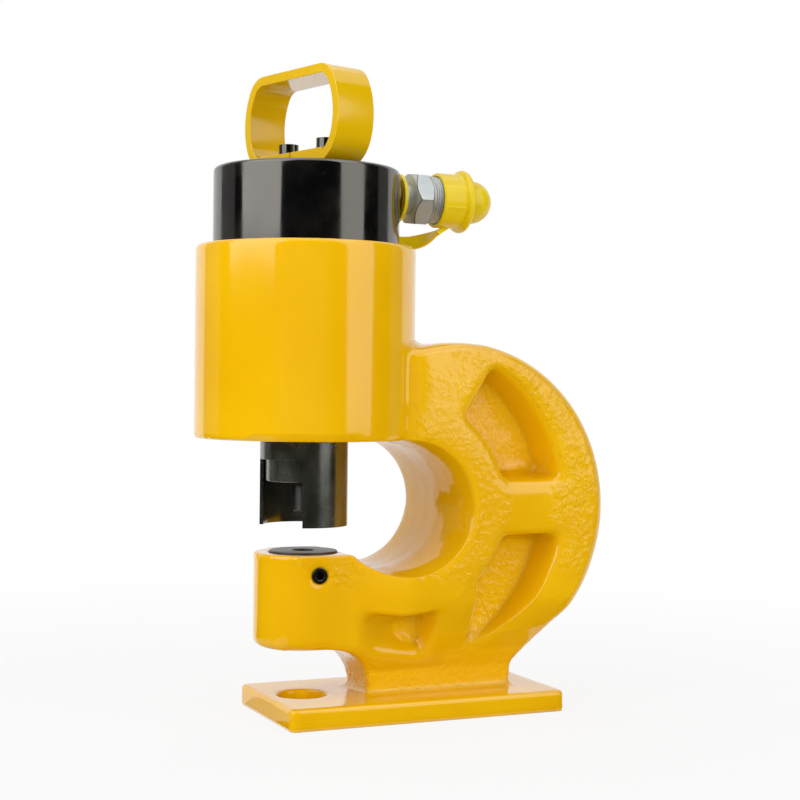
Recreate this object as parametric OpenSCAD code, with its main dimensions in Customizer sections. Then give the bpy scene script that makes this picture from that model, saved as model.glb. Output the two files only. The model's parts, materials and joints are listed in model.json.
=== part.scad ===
// Portable hydraulic hole punch with a cast C-frame, in millimetres, Z up.
// The origin is where the punch axis meets the underside of the base plate.
// X runs from the punch towards the back of the C, Y across the frame.

/* [Base plate] */
// Length of the base plate along X
base_len = 190; // [180:1:220]
// Width of the base plate along Y
base_width = 98; // [80:1:130]
// Thickness of the base plate
base_thick = 14; // [10:0.5:20]
// How far the plate reaches in front of the punch axis
base_front = 25; // [22:1:40]
// Radius of the plate's upright corners
base_corner = 4; // [2:0.5:8]
// Diameter of the slug hole under the die
slug_hole_d = 31.5; // [24:0.5:36]

/* [Throat and C-frame] */
// Depth of the throat behind the punch axis
throat_depth = 95; // [85:1:110]
// Radius of the rounded end of the throat
throat_r = 42.5; // [38:0.5:46]
// Height of the throat's round end above the floor
throat_mid_z = 134.5; // [130:0.5:140]
// Width of the casting across the hub
frame_width = 110; // [100:1:120]
// Wall of the hub round the throat
hub_wall = 23.5; // [18:0.5:28]
// Outer radius of the rim
rim_r = 105; // [100:1:112]
// Distance of the rim's centre behind the throat's centre
rim_back = 33.5; // [30:0.5:38]
// Rounding of the rim's outer edges
rim_round = 9; // [5:0.5:14]
// Radius of the pockets' outer wall about the throat's centre
pocket_r = 106.5; // [100:0.5:110]
// Thickness of the web between the pockets behind the upright rib
web_thick = 56; // [44:1:64]
// Thickness of the web between the two front pockets
front_web_thick = 40; // [30:1:50]
// Height of the horizontal spoke
spoke_height = 34; // [26:1:44]
// Thickness of the upright rib
rib_thick = 22; // [16:1:28]
// Place of the upright rib behind the throat's centre
rib_back = 35; // [30:0.5:40]
// Draft of the pocket walls, from the mouth to the floor
pocket_draft = 5; // [2:0.5:8]

/* [Jaw and foot] */
// Width of the die jaw
jaw_width = 63; // [58:1:70]
// Height of the jaw's top face
jaw_top_z = 105; // [102:0.5:108]
// Height of the jaw's underside
jaw_bottom_z = 45; // [40:0.5:50]
// Rounding of the jaw's lower edge
jaw_round = 6; // [3:0.5:9]
// Where the jaw starts to flare towards the hub
flare_start_x = 20; // [16:1:26]
// Where the flare reaches the hub's full width
flare_end_x = 56; // [50:1:62]
// Front face of the foot
foot_front_x = 38; // [34:1:44]
// Rear face of the foot
foot_rear_x = 140; // [134:1:150]
// Width of the foot on the base plate
foot_width = 36; // [30:1:44]
// Height at which the foot has widened to the hub's width
foot_flare_z = 76; // [70:1:84]
// Height of the foot's upright rear face
foot_rear_z = 30; // [24:1:36]
// Radius of the hollow between the foot and the jaw
foot_fillet = 28; // [22:1:30]
// Height of the front pocket's ledge at the start of its floor
ledge_z = 51; // [46:1:54]
// Slope of the ledge, outwards from the floor
ledge_slope = 50; // [35:1:60]
// Fall of the ledge towards the back
ledge_fall = 16; // [0:1:24]
// Front wall of the front pocket
pocket_front_x = 24; // [22:1:30]
// Start of the front pocket's floor, behind its sloping front wall
pocket_floor_x = 58; // [50:1:64]

/* [Cylinder] */
// Outside diameter of the cylinder barrel
barrel_d = 140; // [130:1:150]
// Height of the barrel's top face
barrel_top_z = 299; // [292:1:310]
// Bevel round the barrel's top edge
barrel_bevel = 1.5; // [0.5:0.5:3]
// Diameter of the working bore
bore_d = 76; // [70:0.5:80]
// Diameter of the ram's rod
rod_d = 50; // [44:1:52]
// Length of the rod bush
bush_len = 15; // [10:1:18]
// Wall of the rod bush and the rod wiper
bush_wall = 5; // [4:0.5:6]
// Height of the rod wiper
wiper_h = 5; // [4:0.5:6]
// Lip that holds the rod wiper
lip_h = 3; // [2:0.5:4]
// Depth of the stripper's seat in the barrel
stripper_seat = 7; // [5:0.5:9]
// Stroke of the ram
stroke = 28; // [24:1:30]
// Thickness of the piston
piston_h = 22; // [20:1:25]
// Space above the piston at rest
piston_top_gap = 2; // [1:0.5:3]
// Depth of the piston's ring grooves
groove_depth = 5; // [4:0.5:6]
// Height of the piston seal
seal_h = 5; // [4:0.5:6]
// Height of the back-up ring
backup_h = 2; // [1.5:0.5:3]
// Height of the guide ring
guide_h = 5; // [4:0.5:6]
// Land of the piston beside each groove
land_h = 2.5; // [2:0.5:3.5]
// Wire diameter of the return spring
spring_wire = 4; // [3:0.5:4.5]
// Turns of the return spring
spring_turns = 3; // [2:0.5:3]

/* [Cylinder head] */
// Diameter of the cylinder head
head_d = 118.5; // [112:0.5:124]
// Height of the head above the barrel
head_h = 49; // [44:1:56]
// Bevel of the head's edges
head_bevel = 2.5; // [1:0.5:4]
// Diameter of the head's threaded spigot
spigot_d = 100; // [92:1:106]
// Length of the spigot inside the barrel
spigot_len = 22; // [18:1:26]
// Section of the head seal
head_seal_d = 3.2; // [2.5:0.1:4]
// Diameter of the oil drillings
oil_d = 6; // [4:0.5:8]
// Height of the hose port below the head's top
port_drop = 14; // [12:0.5:18]

/* [Punch tooling] */
// Diameter of the punch
punch_d = 13.8; // [11:0.1:18]
// How far the punch enters the die at the end of the stroke
punch_entry = 3; // [2:0.5:5]
// Clearance of the die hole round the punch, on the diameter
die_clear = 0.3; // [0.2:0.1:0.6]
// Diameter of the die
die_d = 43.5; // [40:0.5:46]
// Height of the die
die_h = 24; // [20:1:28]
// How far the die stands above the jaw
die_proud = 1; // [0.5:0.5:2]
// Straight length of the die hole
die_land = 8; // [6:1:12]
// Diameter of the die's relief below the land
die_relief_d = 19; // [18.5:0.5:24]
// Diameter of the slug passage through the jaw
slug_way_d = 24; // [22:1:30]
// Diameter of the stripper sleeve
stripper_d = 56; // [55.5:0.5:62]
// Wall of the stripper sleeve
stripper_wall = 2.4; // [2:0.1:2.6]
// Height of the stripper's lower edge
stripper_z = 122; // [120:0.5:126]
// Height of the stripper's window
window_h = 42; // [36:1:46]
// Middle of the window, as an angle round the punch axis
window_angle = 203; // [180:1:230]
// Width of the window, as an angle round the punch axis
window_span = 90; // [70:1:110]
// Diameter of the punch nut
nut_d = 49; // [46:0.5:49.5]
// Height of the punch nut
nut_h = 25; // [22:1:27]
// How far the nut hangs below the barrel at rest
nut_drop = 2; // [1:0.5:4]
// Lip of the nut under the punch's head
nut_lip = 4; // [3:0.5:5]
// Diameter of the punch's head
punch_head_d = 28; // [24:0.5:30]
// Height of the punch's head
punch_head_h = 4; // [3:0.5:5]
// Diameter of the ram's threaded nose
nose_d = 34; // [32:0.5:38]
// Diameter of the die set screw
set_screw_d = 10; // [8:1:12]
// Height of the die set screw above the floor
set_screw_z = 92.5; // [90:0.5:96]
// Across flats of the set screw's socket
set_screw_af = 5; // [4:0.5:6]

/* [Carry handle] */
// Length of the handle loop
handle_len = 100; // [90:1:110]
// Height of the handle loop
handle_h = 62; // [54:1:70]
// Width of the handle's strap
strap_w = 28; // [24:1:34]
// Thickness of the handle's strap
strap_t = 6; // [4:0.5:8]
// Outer radius of the loop's lower corners
handle_low_r = 24; // [18:1:26]
// Outer radius of the loop's upper corners
handle_top_r = 16; // [12:1:22]
// Outer radius of the bowed ends between the corners
handle_bow_r = 46; // [36:1:60]
// Turn of the loop about the punch axis
handle_angle = -74; // [-90:1:-40]
// Distance between the two handle screws
handle_pitch = 40; // [32:1:44]
// Thread diameter of the handle screws
handle_screw_d = 8; // [6:1:10]
// Length of thread in the head
handle_thread_len = 14; // [10:1:16]
// Length over which the strap's ends lap over the bottom of the loop
lap_len = 66; // [56:1:70]
// Thickness of the lapped ends
lap_t = 4; // [3:0.5:7]
// Gap between the strap's two ends
strap_split = 2; // [1:0.5:4]

/* [Hose coupler] */
// Thread diameter of the adapter
adapter_d = 16; // [14:0.5:18]
// Length of the adapter's thread in the head
adapter_thread = 14; // [10:1:18]
// Thickness of the seal washer
washer_t = 2; // [1.5:0.5:3]
// Diameter of the seal washer
washer_d = 24; // [22:0.5:28]
// Length of the adapter's neck
neck_len = 9; // [8:0.5:12]
// Diameter of the adapter's neck
neck_d = 20; // [18:0.5:22]
// Length of the coupler's hexagon
hex_len = 12.5; // [10:0.5:16]
// Across flats of the coupler's hexagon
hex_af = 32; // [30:1:36]
// Turn of the hexagon about its axis
hex_turn = 7.5; // [0:0.5:30]
// Diameter of the coupler's threaded collar
collar_d = 30.6; // [28:0.2:32]
// Length of the coupler's threaded collar
collar_len = 21; // [18:0.5:26]
// Diameter of the check valve chamber
chamber_d = 20; // [18:0.5:22]
// Diameter of the check valve's seat
seat_d = 12; // [10:0.5:14]
// Wall of the coupler's front end
seat_wall = 4; // [3:0.5:5]
// Travel of the check valve
poppet_travel = 4; // [2:0.5:5]
// Wire diameter of the check valve's spring
valve_wire = 1.2; // [0.8:0.1:1.6]
// Turns of the check valve's spring
valve_turns = 3.5; // [2.5:0.5:4]

/* [Dust cap] */
// How much of the collar shows behind the cap
collar_show = 6.5; // [4:0.5:9]
// Diameter of the cap's skirt
cap_d = 36; // [34:0.5:40]
// Length of the cap's skirt
cap_skirt = 16.5; // [14:0.5:20]
// Diameter of the cap's flange
cap_flange_d = 41.5; // [40:0.5:46]
// Thickness of the cap's flange
cap_flange_t = 5; // [3:0.5:7]
// Diameter of the cap's domed end
cap_dome_d = 28.4; // [26:0.2:32]
// Length of the cap's domed end
cap_dome_len = 19; // [18:0.5:24]
// Outer diameter of the strap's ring on the neck
ring_d = 31.5; // [29:0.5:34]
// Thickness of the strap's ring
ring_t = 2.5; // [2:0.5:4]
// Width of the cap's strap
tether_w = 9.5; // [7:0.5:11]
// Thickness of the cap's strap
tether_t = 2.2; // [1.5:0.1:3]
// How far the strap swings to the far side
tether_side = 46; // [40:1:50]
// How far the strap hangs below the coupler's axis
tether_drop = 34; // [30:1:36]

/* [Fits] */
// Radial clearance of the sliding fits
run_clear = 0.05; // [0.02:0.01:0.08]
// Radial clearance of threads and seats
seat_clear = 0.05; // [0.02:0.01:0.1]
// Free space between pieces that only lie near each other
free_gap = 0.3; // [0.2:0.1:0.6]

/* [Hidden] */
$fn = 64;

// Overrun of every cut
cut = 1;
// Sides of a swept wire and rings in each of its turns
wire_sides = 8;
turn_rings = 16;
// Steps along the cap's strap
tether_steps = 24;
// Angle at which the upper pocket ends, and the rim's straight lower stretch starts
pocket_end_angle = 58;
rim_foot_angle = 47;
// Half widths of the foot's sides as shares of the rise and of the widening
flare_shares = [[0, 0], [0.22, 0.08], [0.44, 0.32], [0.68, 0.66], [1, 1]];

// Head diameter and socket of the handle screws as shares of the thread
screw_head_share = 1.6;
screw_socket_share = 0.75;

enamel = "#ecb600";
black_oxide = "#26262a";
steel = "#b9bcc0";
spring_steel = "#8b8f96";
seal_green = "#3f5a46";
bronze = "#b08d4a";
cap_yellow = "#ecd20c";

// Places along the punch axis, from the base up
throat_x = throat_depth - throat_r;
rim_x = throat_x + rim_back;
hub_r = throat_r + hub_wall;
frame_half = frame_width / 2;
web_half = web_thick / 2;
jaw_r = jaw_width / 2;
barrel_z = throat_mid_z + throat_r;
lip_z = barrel_z + stripper_seat;
wiper_z = lip_z + lip_h;
bush_z = wiper_z + wiper_h;
bore_z = bush_z + bush_len;
spigot_z = barrel_top_z - spigot_len;
piston_top_z = spigot_z - piston_top_gap;
piston_z = piston_top_z - piston_h;
rod_r = rod_d / 2;
bush_r = rod_r + bush_wall;
head_top_z = barrel_top_z + head_h;
hub_low_z = throat_mid_z - hub_r;
die_top_z = jaw_top_z + die_proud;
die_z = die_top_z - die_h;
punch_tip_z = die_top_z + stroke - punch_entry;
nut_z = barrel_z - nut_h - nut_drop;
nut_top_z = nut_z + nut_h;
punch_head_z = nut_z + nut_lip;
nose_z = punch_head_z + punch_head_h;
stripper_top_z = lip_z - free_gap;

// Places along the hose coupler's axis, from the head outwards
coupler_z = head_top_z - port_drop;
head_r = head_d / 2;
washer_x = head_r + free_gap;
neck_x = washer_x + washer_t;
hex_x = neck_x + neck_len;
collar_x = hex_x + hex_len;
collar_end_x = collar_x + collar_len;
chamber_r = chamber_d / 2;
seat_x = collar_end_x - seat_wall;
cap_x = collar_x + collar_show;
cap_flange_x = cap_x + cap_skirt;
cap_dome_x = cap_flange_x + cap_flange_t;
ring_x = neck_x + free_gap;
poppet_guide_t = seat_wall;
poppet_x = seat_x - poppet_guide_t;
seat_ring_t = 2 * valve_wire;
valve_spring_len = poppet_travel + 2 * valve_turns * valve_wire;
chamber_x = poppet_x - valve_spring_len - seat_ring_t;

// Control points of the cap's strap, from the cap's underside round to the ring
tether_root_share = 0.36;
tether_lead_shares = [0.27, 0.48, 0.82];
tether_ring_angle = 40;
tether_ring_y = (ring_d / 2 + free_gap) * cos(tether_ring_angle);
tether_ring_drop = (ring_d / 2 + free_gap) * sin(tether_ring_angle);
tether_lead = [
  cap_x + cap_skirt * tether_lead_shares[0],
  tether_side * tether_lead_shares[1],
  coupler_z - tether_drop * tether_lead_shares[2]
];
tether_route = [
  [cap_x + cap_skirt * tether_root_share, tether_t / 2, coupler_z - (cap_d + tether_t) / 2 - free_gap],
  tether_lead,
  [ring_x + ring_t, tether_side, coupler_z - tether_drop],
  [ring_x + ring_t / 2, tether_ring_y, coupler_z - tether_ring_drop]
];
tether_wide_at_cap = [1, 0, 0];
tether_wide_at_ring = [0, 0.7, 0.7];

module xz_plate(width) {
  rotate([90, 0, 0])
    linear_extrude(height = width, center = true)
      children();
}

module yz_bar(from_x, to_x) {
  translate([from_x, 0, 0])
    rotate([90, 0, 90])
      linear_extrude(height = to_x - from_x)
        children();
}

module turned_on_x(from_x, axis_z) {
  translate([from_x, 0, axis_z])
    rotate([0, 90, 0])
      children();
}

module ring(outer_r, inner_r, height) {
  difference() {
    cylinder(r = outer_r, h = height);
    translate([0, 0, -cut])
      cylinder(r = inner_r, h = height + cut + cut);
  }
}

module rounded_rect(size_x, size_y, corner) {
  translate([0, corner])
    square([size_x, size_y - 2 * corner]);
  translate([corner, 0])
    square([size_x - 2 * corner, size_y]);
  for (x = [corner, size_x - corner], y = [corner, size_y - corner])
    translate([x, y])
      circle(r = corner);
}

// A helix of round wire, standing on z = 0
module coil(mean_r, wire_d, height, turns) {
  rings = round(turns * turn_rings);
  rise = height - wire_d;
  wire_r = wire_d / 2;
  points = [
    for (i = [0:rings], k = [0:wire_sides - 1])
      let (
        turn = 360 * turns * i / rings,
        around = 360 * k / wire_sides,
        r = mean_r + wire_r * cos(around)
      )
      [r * cos(turn), r * sin(turn), wire_r + rise * i / rings + wire_r * sin(around)]
  ];
  sides = [
    for (i = [0:rings - 1], k = [0:wire_sides - 1], half = [0, 1])
      let (
        a = i * wire_sides + k,
        b = i * wire_sides + (k + 1) % wire_sides
      )
      half == 0 ? [a, b, b + wire_sides] : [a, b + wire_sides, a + wire_sides]
  ];
  start_cap = [[for (k = [wire_sides - 1:-1:0]) k]];
  end_cap = [[for (k = [0:wire_sides - 1]) rings * wire_sides + k]];
  polyhedron(points = points, faces = concat(sides, start_cap, end_cap), convexity = 6);
}

// The casting stands on the base plate, and low down it is no wider than this at each height
module foot_sides() {
  rise = foot_flare_z - base_thick;
  foot_half = foot_width / 2;
  spread = frame_half - foot_half;
  right = [for (s = flare_shares) [foot_half + s[1] * spread, base_thick + s[0] * rise]];
  top = [[frame_half, barrel_top_z]];
  half = concat(right, top);
  left = [for (i = [len(half) - 1:-1:0]) [-half[i][0], half[i][1]]];
  yz_bar(-rim_r, rim_x + rim_r + cut)
    polygon(concat(half, left));
}

// Seen from above, the casting narrows from the hub to the jaw
module jaw_flare() {
  back_x = rim_x + rim_r + cut;
  linear_extrude(height = barrel_top_z)
    polygon([
      [-rim_r, -jaw_r], [flare_start_x, -jaw_r], [flare_end_x, -frame_half], [back_x, -frame_half],
      [back_x, frame_half], [flare_end_x, frame_half], [flare_start_x, jaw_r], [-rim_r, jaw_r]
    ]);
}

module rim_disc() {
  inner_half = frame_half - rim_round;
  translate([rim_x, 0, throat_mid_z])
    rotate([90, 0, 0])
      rotate_extrude() {
        translate([0, -frame_half])
          square([rim_r - rim_round, frame_width]);
        translate([0, -inner_half])
          square([rim_r, 2 * inner_half]);
        for (y = [-inner_half, inner_half])
          translate([rim_r - rim_round, y])
            intersection() {
              circle(r = rim_round);
              translate([-rim_round / 2, -rim_round])
                square([2 * rim_round, 2 * rim_round]);
            }
      }
}

module foot_block() {
  fillet_x = foot_front_x - foot_fillet;
  fillet_z = jaw_bottom_z - foot_fillet;
  xz_plate(frame_width)
    difference() {
      polygon([
        [foot_front_x, base_thick], [foot_rear_x, base_thick], [foot_rear_x, foot_rear_z],
        [rim_x + rim_r * cos(rim_foot_angle), throat_mid_z - rim_r * sin(rim_foot_angle)],
        [throat_x, throat_mid_z], [fillet_x, jaw_bottom_z + jaw_round], [fillet_x, fillet_z],
        [foot_front_x, fillet_z]
      ]);
      translate([fillet_x, fillet_z])
        circle(r = foot_fillet);
    }
}

module jaw_block() {
  translate([0, 0, jaw_bottom_z])
    rotate_extrude() {
      translate([0, jaw_round])
        square([jaw_r, jaw_top_z - jaw_bottom_z - jaw_round]);
      square([jaw_r - jaw_round, jaw_round + cut]);
      translate([jaw_r - jaw_round, jaw_round])
        circle(r = jaw_round);
    }
  yz_bar(0, throat_x)
    translate([-jaw_r, jaw_bottom_z]) {
      translate([0, jaw_round])
        square([jaw_width, jaw_top_z - jaw_bottom_z - jaw_round]);
      translate([jaw_round, 0])
        square([jaw_width - 2 * jaw_round, jaw_round + cut]);
      for (y = [jaw_round, jaw_width - jaw_round])
        translate([y, jaw_round])
          circle(r = jaw_round);
    }
}

// One side's pockets: a drafted ring, less what stays standing in it
module pockets() {
  front_half = front_web_thick / 2;
  depth = frame_half - front_half;
  back_x = rim_x + rim_r;
  rib_mid = throat_x + rib_back;
  rib_half = rib_thick / 2;
  spoke_half = spoke_height / 2;
  span = 2 * rim_r;
  flare_rate = (frame_half - jaw_r) / (flare_end_x - flare_start_x);
  mouth_half = jaw_r + (pocket_front_x - flare_start_x) * flare_rate;
  difference() {
    translate([throat_x, front_half, throat_mid_z])
      rotate([-90, 0, 0])
        difference() {
          cylinder(r1 = pocket_r - pocket_draft, r2 = pocket_r, h = depth + cut);
          translate([0, 0, -cut])
            cylinder(r1 = hub_r + pocket_draft, r2 = hub_r, h = depth + 3 * cut);
        }
    yz_bar(throat_x, back_x)
      translate([front_half - cut, throat_mid_z])
        polygon([
          [0, -spoke_half - pocket_draft], [depth + 3 * cut, -spoke_half],
          [depth + 3 * cut, spoke_half], [0, spoke_half + pocket_draft]
        ]);
    linear_extrude(height = throat_mid_z)
      translate([rib_mid, front_half - cut])
        polygon([
          [-rib_half - pocket_draft, 0], [rib_half + pocket_draft, 0],
          [rib_half, depth + 3 * cut], [-rib_half, depth + 3 * cut]
        ]);
    translate([rib_mid, 0, 0])
      cube([span, web_half, 2 * span]);
    translate([throat_x - span, 0, hub_low_z])
      cube([span, frame_width, span]);
    linear_extrude(height = span)
      polygon([
        [-span, 0], [pocket_floor_x, 0], [pocket_floor_x, front_half], [pocket_front_x, mouth_half],
        [pocket_front_x, frame_width], [-span, frame_width]
      ]);
    intersection() {
      translate([pocket_floor_x, front_half, ledge_z])
        rotate([-ledge_slope, ledge_fall, 0])
          translate([-span, -span, -span])
            cube([2 * span, 2 * span, span]);
      translate([-span, 0, 0])
        cube([span + rib_mid, frame_width, span]);
    }
    translate([throat_x, 0, throat_mid_z])
      rotate([0, -pocket_end_angle, 0])
        translate([-span, 0, 0])
          cube([2 * span, frame_width, span]);
  }
}

module casting_body() {
  difference() {
    union() {
      intersection() {
        union() {
          rim_disc();
          foot_block();
        }
        foot_sides();
        jaw_flare();
      }
      jaw_block();
    }
    for (side = [0, 1])
      mirror([0, side, 0])
        pockets();
  }
}

module base_plate() {
  color(enamel)
    difference() {
      translate([-base_front, -base_width / 2, 0])
        linear_extrude(height = base_thick)
          rounded_rect(base_len, base_width, base_corner);
      translate([0, 0, -cut])
        cylinder(d = slug_hole_d, h = base_thick + 2 * cut);
    }
}

module throat_cut() {
  translate([throat_x, 0, throat_mid_z])
    rotate([90, 0, 0])
      cylinder(r = throat_r, h = frame_width + 2 * barrel_d, center = true);
  translate([throat_x - rim_r - barrel_d, -barrel_d, jaw_top_z])
    cube([rim_r + barrel_d, 2 * barrel_d, barrel_z - jaw_top_z]);
}

module cylinder_bores() {
  translate([0, 0, barrel_z - cut])
    cylinder(d = stripper_d + 2 * seat_clear, h = stripper_seat + cut);
  translate([0, 0, barrel_z])
    cylinder(r = rod_r + 2 * free_gap, h = bore_z - barrel_z);
  translate([0, 0, wiper_z])
    cylinder(r = bush_r + seat_clear, h = bore_z - wiper_z + cut);
  translate([0, 0, bore_z])
    cylinder(d = bore_d, h = barrel_top_z - bore_z + cut);
  translate([0, 0, spigot_z])
    cylinder(d = spigot_d + 2 * seat_clear, h = spigot_len + cut);
}

module tooling_bores() {
  translate([0, 0, jaw_bottom_z - cut])
    cylinder(d = slug_way_d, h = die_z - jaw_bottom_z + 2 * cut);
  translate([0, 0, die_z])
    cylinder(d = die_d + 2 * seat_clear, h = die_h + cut);
  translate([0, 0, set_screw_z])
    rotate([90, 0, 0])
      cylinder(d = set_screw_d + 2 * seat_clear, h = jaw_r + cut);
}

// The cast frame and its jaw, without the base plate and the barrel
module frame_casting() {
  difference() {
    casting_body();
    throat_cut();
    tooling_bores();
    translate([0, 0, barrel_z - cut])
      cylinder(d = barrel_d + 2 * seat_clear, h = barrel_top_z);
  }
}

// All that lies in front of the front pocket
module jaw_space() {
  translate([pocket_front_x - 2 * rim_r, -frame_width, 0])
    cube([2 * rim_r, 2 * frame_width, barrel_top_z]);
}

module c_frame() {
  color(enamel)
    difference() {
      frame_casting();
      jaw_space();
    }
}

module die_jaw() {
  color(enamel)
    intersection() {
      frame_casting();
      jaw_space();
    }
}

module cylinder_barrel() {
  barrel_r = barrel_d / 2;
  color(enamel)
    difference() {
      rotate_extrude()
        polygon([
          [0, barrel_z], [barrel_r, barrel_z], [barrel_r, barrel_top_z - barrel_bevel],
          [barrel_r - barrel_bevel, barrel_top_z], [0, barrel_top_z]
        ]);
      cylinder_bores();
      translate([0, stripper_screw_y, stripper_screw_z])
        rotate([-90, 0, 0])
          cylinder(d = stripper_screw_d + 2 * seat_clear, h = barrel_r);
    }
}

module die() {
  hole_d = punch_d + die_clear;
  color(black_oxide)
    translate([0, 0, die_z])
      difference() {
        cylinder(d = die_d, h = die_h);
        translate([0, 0, -cut])
          cylinder(d = hole_d, h = die_h + 2 * cut);
        translate([0, 0, -cut])
          cylinder(d = die_relief_d, h = die_h - die_land + cut);
      }
}

module socket_screw_grub(screw_d, screw_len, socket_af) {
  difference() {
    cylinder(d = screw_d, h = screw_len);
    translate([0, 0, screw_len - socket_af])
      cylinder(d = socket_af / cos(30), h = socket_af + cut, $fn = 6);
  }
}

module die_set_screw() {
  tip_y = die_d / 2 + free_gap;
  head_y = jaw_r - free_gap - free_gap;
  color(black_oxide)
    translate([0, -tip_y, set_screw_z])
      rotate([90, 0, 0])
        socket_screw_grub(set_screw_d, head_y - tip_y, set_screw_af);
}

// The stripper's locking screw comes in from the far side of the barrel
stripper_screw_d = 6;
stripper_screw_af = 3;
stripper_screw_y = stripper_d / 2 + free_gap;
stripper_screw_z = barrel_z + stripper_seat / 2;

module stripper_screw() {
  color(black_oxide)
    translate([0, stripper_screw_y, stripper_screw_z])
      rotate([-90, 0, 0])
        socket_screw_grub(stripper_screw_d, barrel_d / 2 - stripper_screw_y - cut, stripper_screw_af);
}

module stripper() {
  outer_r = stripper_d / 2;
  reach = 2 * outer_r;
  color(black_oxide)
    difference() {
      translate([0, 0, stripper_z])
        ring(outer_r, outer_r - stripper_wall, stripper_top_z - stripper_z);
      translate([0, 0, stripper_z - cut])
        rotate([0, 0, window_angle])
          linear_extrude(height = window_h + cut)
            polygon([
              [0, 0], [reach * cos(window_span / 2), -reach * sin(window_span / 2)],
              [reach, 0], [reach * cos(window_span / 2), reach * sin(window_span / 2)]
            ]);
    }
}

module rod_bush() {
  color(bronze)
    translate([0, 0, bush_z])
      ring(bush_r, rod_r + run_clear, bush_len);
}

module rod_wiper() {
  color(seal_green)
    translate([0, 0, wiper_z])
      ring(bush_r, rod_r + run_clear, wiper_h);
}

piston_r = bore_d / 2 - run_clear;
groove_r = piston_r - groove_depth;
seal_z = piston_top_z - land_h - seal_h;
backup_z = seal_z - backup_h;
guide_z = piston_z + land_h;

module ram() {
  color(steel)
    difference() {
      union() {
        translate([0, 0, piston_z])
          cylinder(r = piston_r, h = piston_h);
        translate([0, 0, nut_top_z])
          cylinder(r = rod_r, h = piston_z - nut_top_z + cut);
        translate([0, 0, nose_z])
          cylinder(d = nose_d, h = nut_top_z - nose_z + cut);
      }
      translate([0, 0, backup_z])
        ring(bore_d, groove_r, seal_h + backup_h);
      translate([0, 0, guide_z])
        ring(bore_d, groove_r, guide_h);
    }
}

module piston_ring(from_z, height) {
  translate([0, 0, from_z])
    ring(piston_r, groove_r, height);
}

module piston_seal() {
  color(seal_green)
    piston_ring(seal_z, seal_h);
}

module piston_backup_ring() {
  color("white")
    piston_ring(backup_z, backup_h);
}

module piston_guide_ring() {
  color(bronze)
    piston_ring(guide_z, guide_h);
}

module return_spring() {
  mean_r = (rod_r + bore_d / 2) / 2;
  color(spring_steel)
    translate([0, 0, bore_z + free_gap])
      coil(mean_r, spring_wire, piston_z - bore_z - 2 * free_gap, spring_turns);
}

module punch_nut() {
  color(black_oxide)
    translate([0, 0, nut_z])
      difference() {
        cylinder(d = nut_d, h = nut_h);
        translate([0, 0, -cut])
          cylinder(d = punch_d + 2 * free_gap, h = nut_h);
        translate([0, 0, nut_lip])
          cylinder(d = punch_head_d + 2 * seat_clear, h = nut_h);
        translate([0, 0, nose_z - nut_z])
          cylinder(d = nose_d + 2 * seat_clear, h = nut_h);
      }
}

module punch() {
  color(steel) {
    translate([0, 0, punch_head_z])
      cylinder(d = punch_head_d, h = punch_head_h);
    translate([0, 0, punch_tip_z])
      cylinder(d = punch_d, h = punch_head_z - punch_tip_z + cut);
  }
}

// Both handle screws stand on the loop's own line
module at_handle_screws() {
  rotate([0, 0, handle_angle])
    for (side = [-1, 1])
      translate([side * handle_pitch / 2, 0, 0])
        children();
}

oil_x = adapter_d;

module cylinder_head() {
  color(black_oxide)
    difference() {
      rotate_extrude()
        polygon([
          [0, spigot_z], [spigot_d / 2, spigot_z], [spigot_d / 2, barrel_top_z], [head_r, barrel_top_z],
          [head_r, head_top_z - head_bevel], [head_r - head_bevel, head_top_z], [0, head_top_z]
        ]);
      translate([0, 0, spigot_z + head_seal_d])
        ring(spigot_d, spigot_d / 2 - head_seal_d, head_seal_d + 2 * seat_clear);
      turned_on_x(oil_x, coupler_z)
        cylinder(d = oil_d, h = head_r);
      turned_on_x(head_r - adapter_thread - cut, coupler_z)
        cylinder(d = adapter_d + 2 * seat_clear, h = adapter_thread + 2 * cut);
      translate([oil_x, 0, spigot_z - cut])
        cylinder(d = oil_d, h = coupler_z - spigot_z + cut);
      translate([0, 0, head_top_z - handle_thread_len - cut])
        at_handle_screws()
          cylinder(d = handle_screw_d + 2 * seat_clear, h = handle_thread_len + 2 * cut);
    }
}

module head_seal() {
  seal_r = head_seal_d / 2;
  color(seal_green)
    translate([0, 0, spigot_z + head_seal_d + seat_clear + seal_r])
      rotate_extrude()
        translate([spigot_d / 2 - seal_r, 0])
          circle(r = seal_r - seat_clear);
}

// Outline of the bent strap: each end is a wide bow that runs into two tighter corners
module handle_outline(inset) {
  half_h = handle_h / 2;
  bow_x = handle_len / 2 - handle_bow_r;
  low_lean = asin((half_h - handle_low_r) / (handle_bow_r - handle_low_r));
  top_lean = asin((half_h - handle_top_r) / (handle_bow_r - handle_top_r));
  low_x = bow_x + (handle_bow_r - handle_low_r) * cos(low_lean);
  top_x = bow_x + (handle_bow_r - handle_top_r) * cos(top_lean);
  low_z = inset;
  top_z = handle_h - inset;
  polygon([[-low_x, low_z], [low_x, low_z], [top_x, top_z], [-top_x, top_z]]);
  for (end = [0, 1])
    mirror([end, 0]) {
      translate([bow_x, half_h])
        intersection() {
          circle(r = handle_bow_r - inset);
          polygon([
            [0, 0], [handle_len * cos(low_lean), -handle_len * sin(low_lean)],
            [handle_len * cos(top_lean), handle_len * sin(top_lean)]
          ]);
        }
      translate([low_x, handle_low_r])
        circle(r = handle_low_r - inset);
      translate([top_x, handle_h - handle_top_r])
        circle(r = handle_top_r - inset);
    }
}

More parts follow.
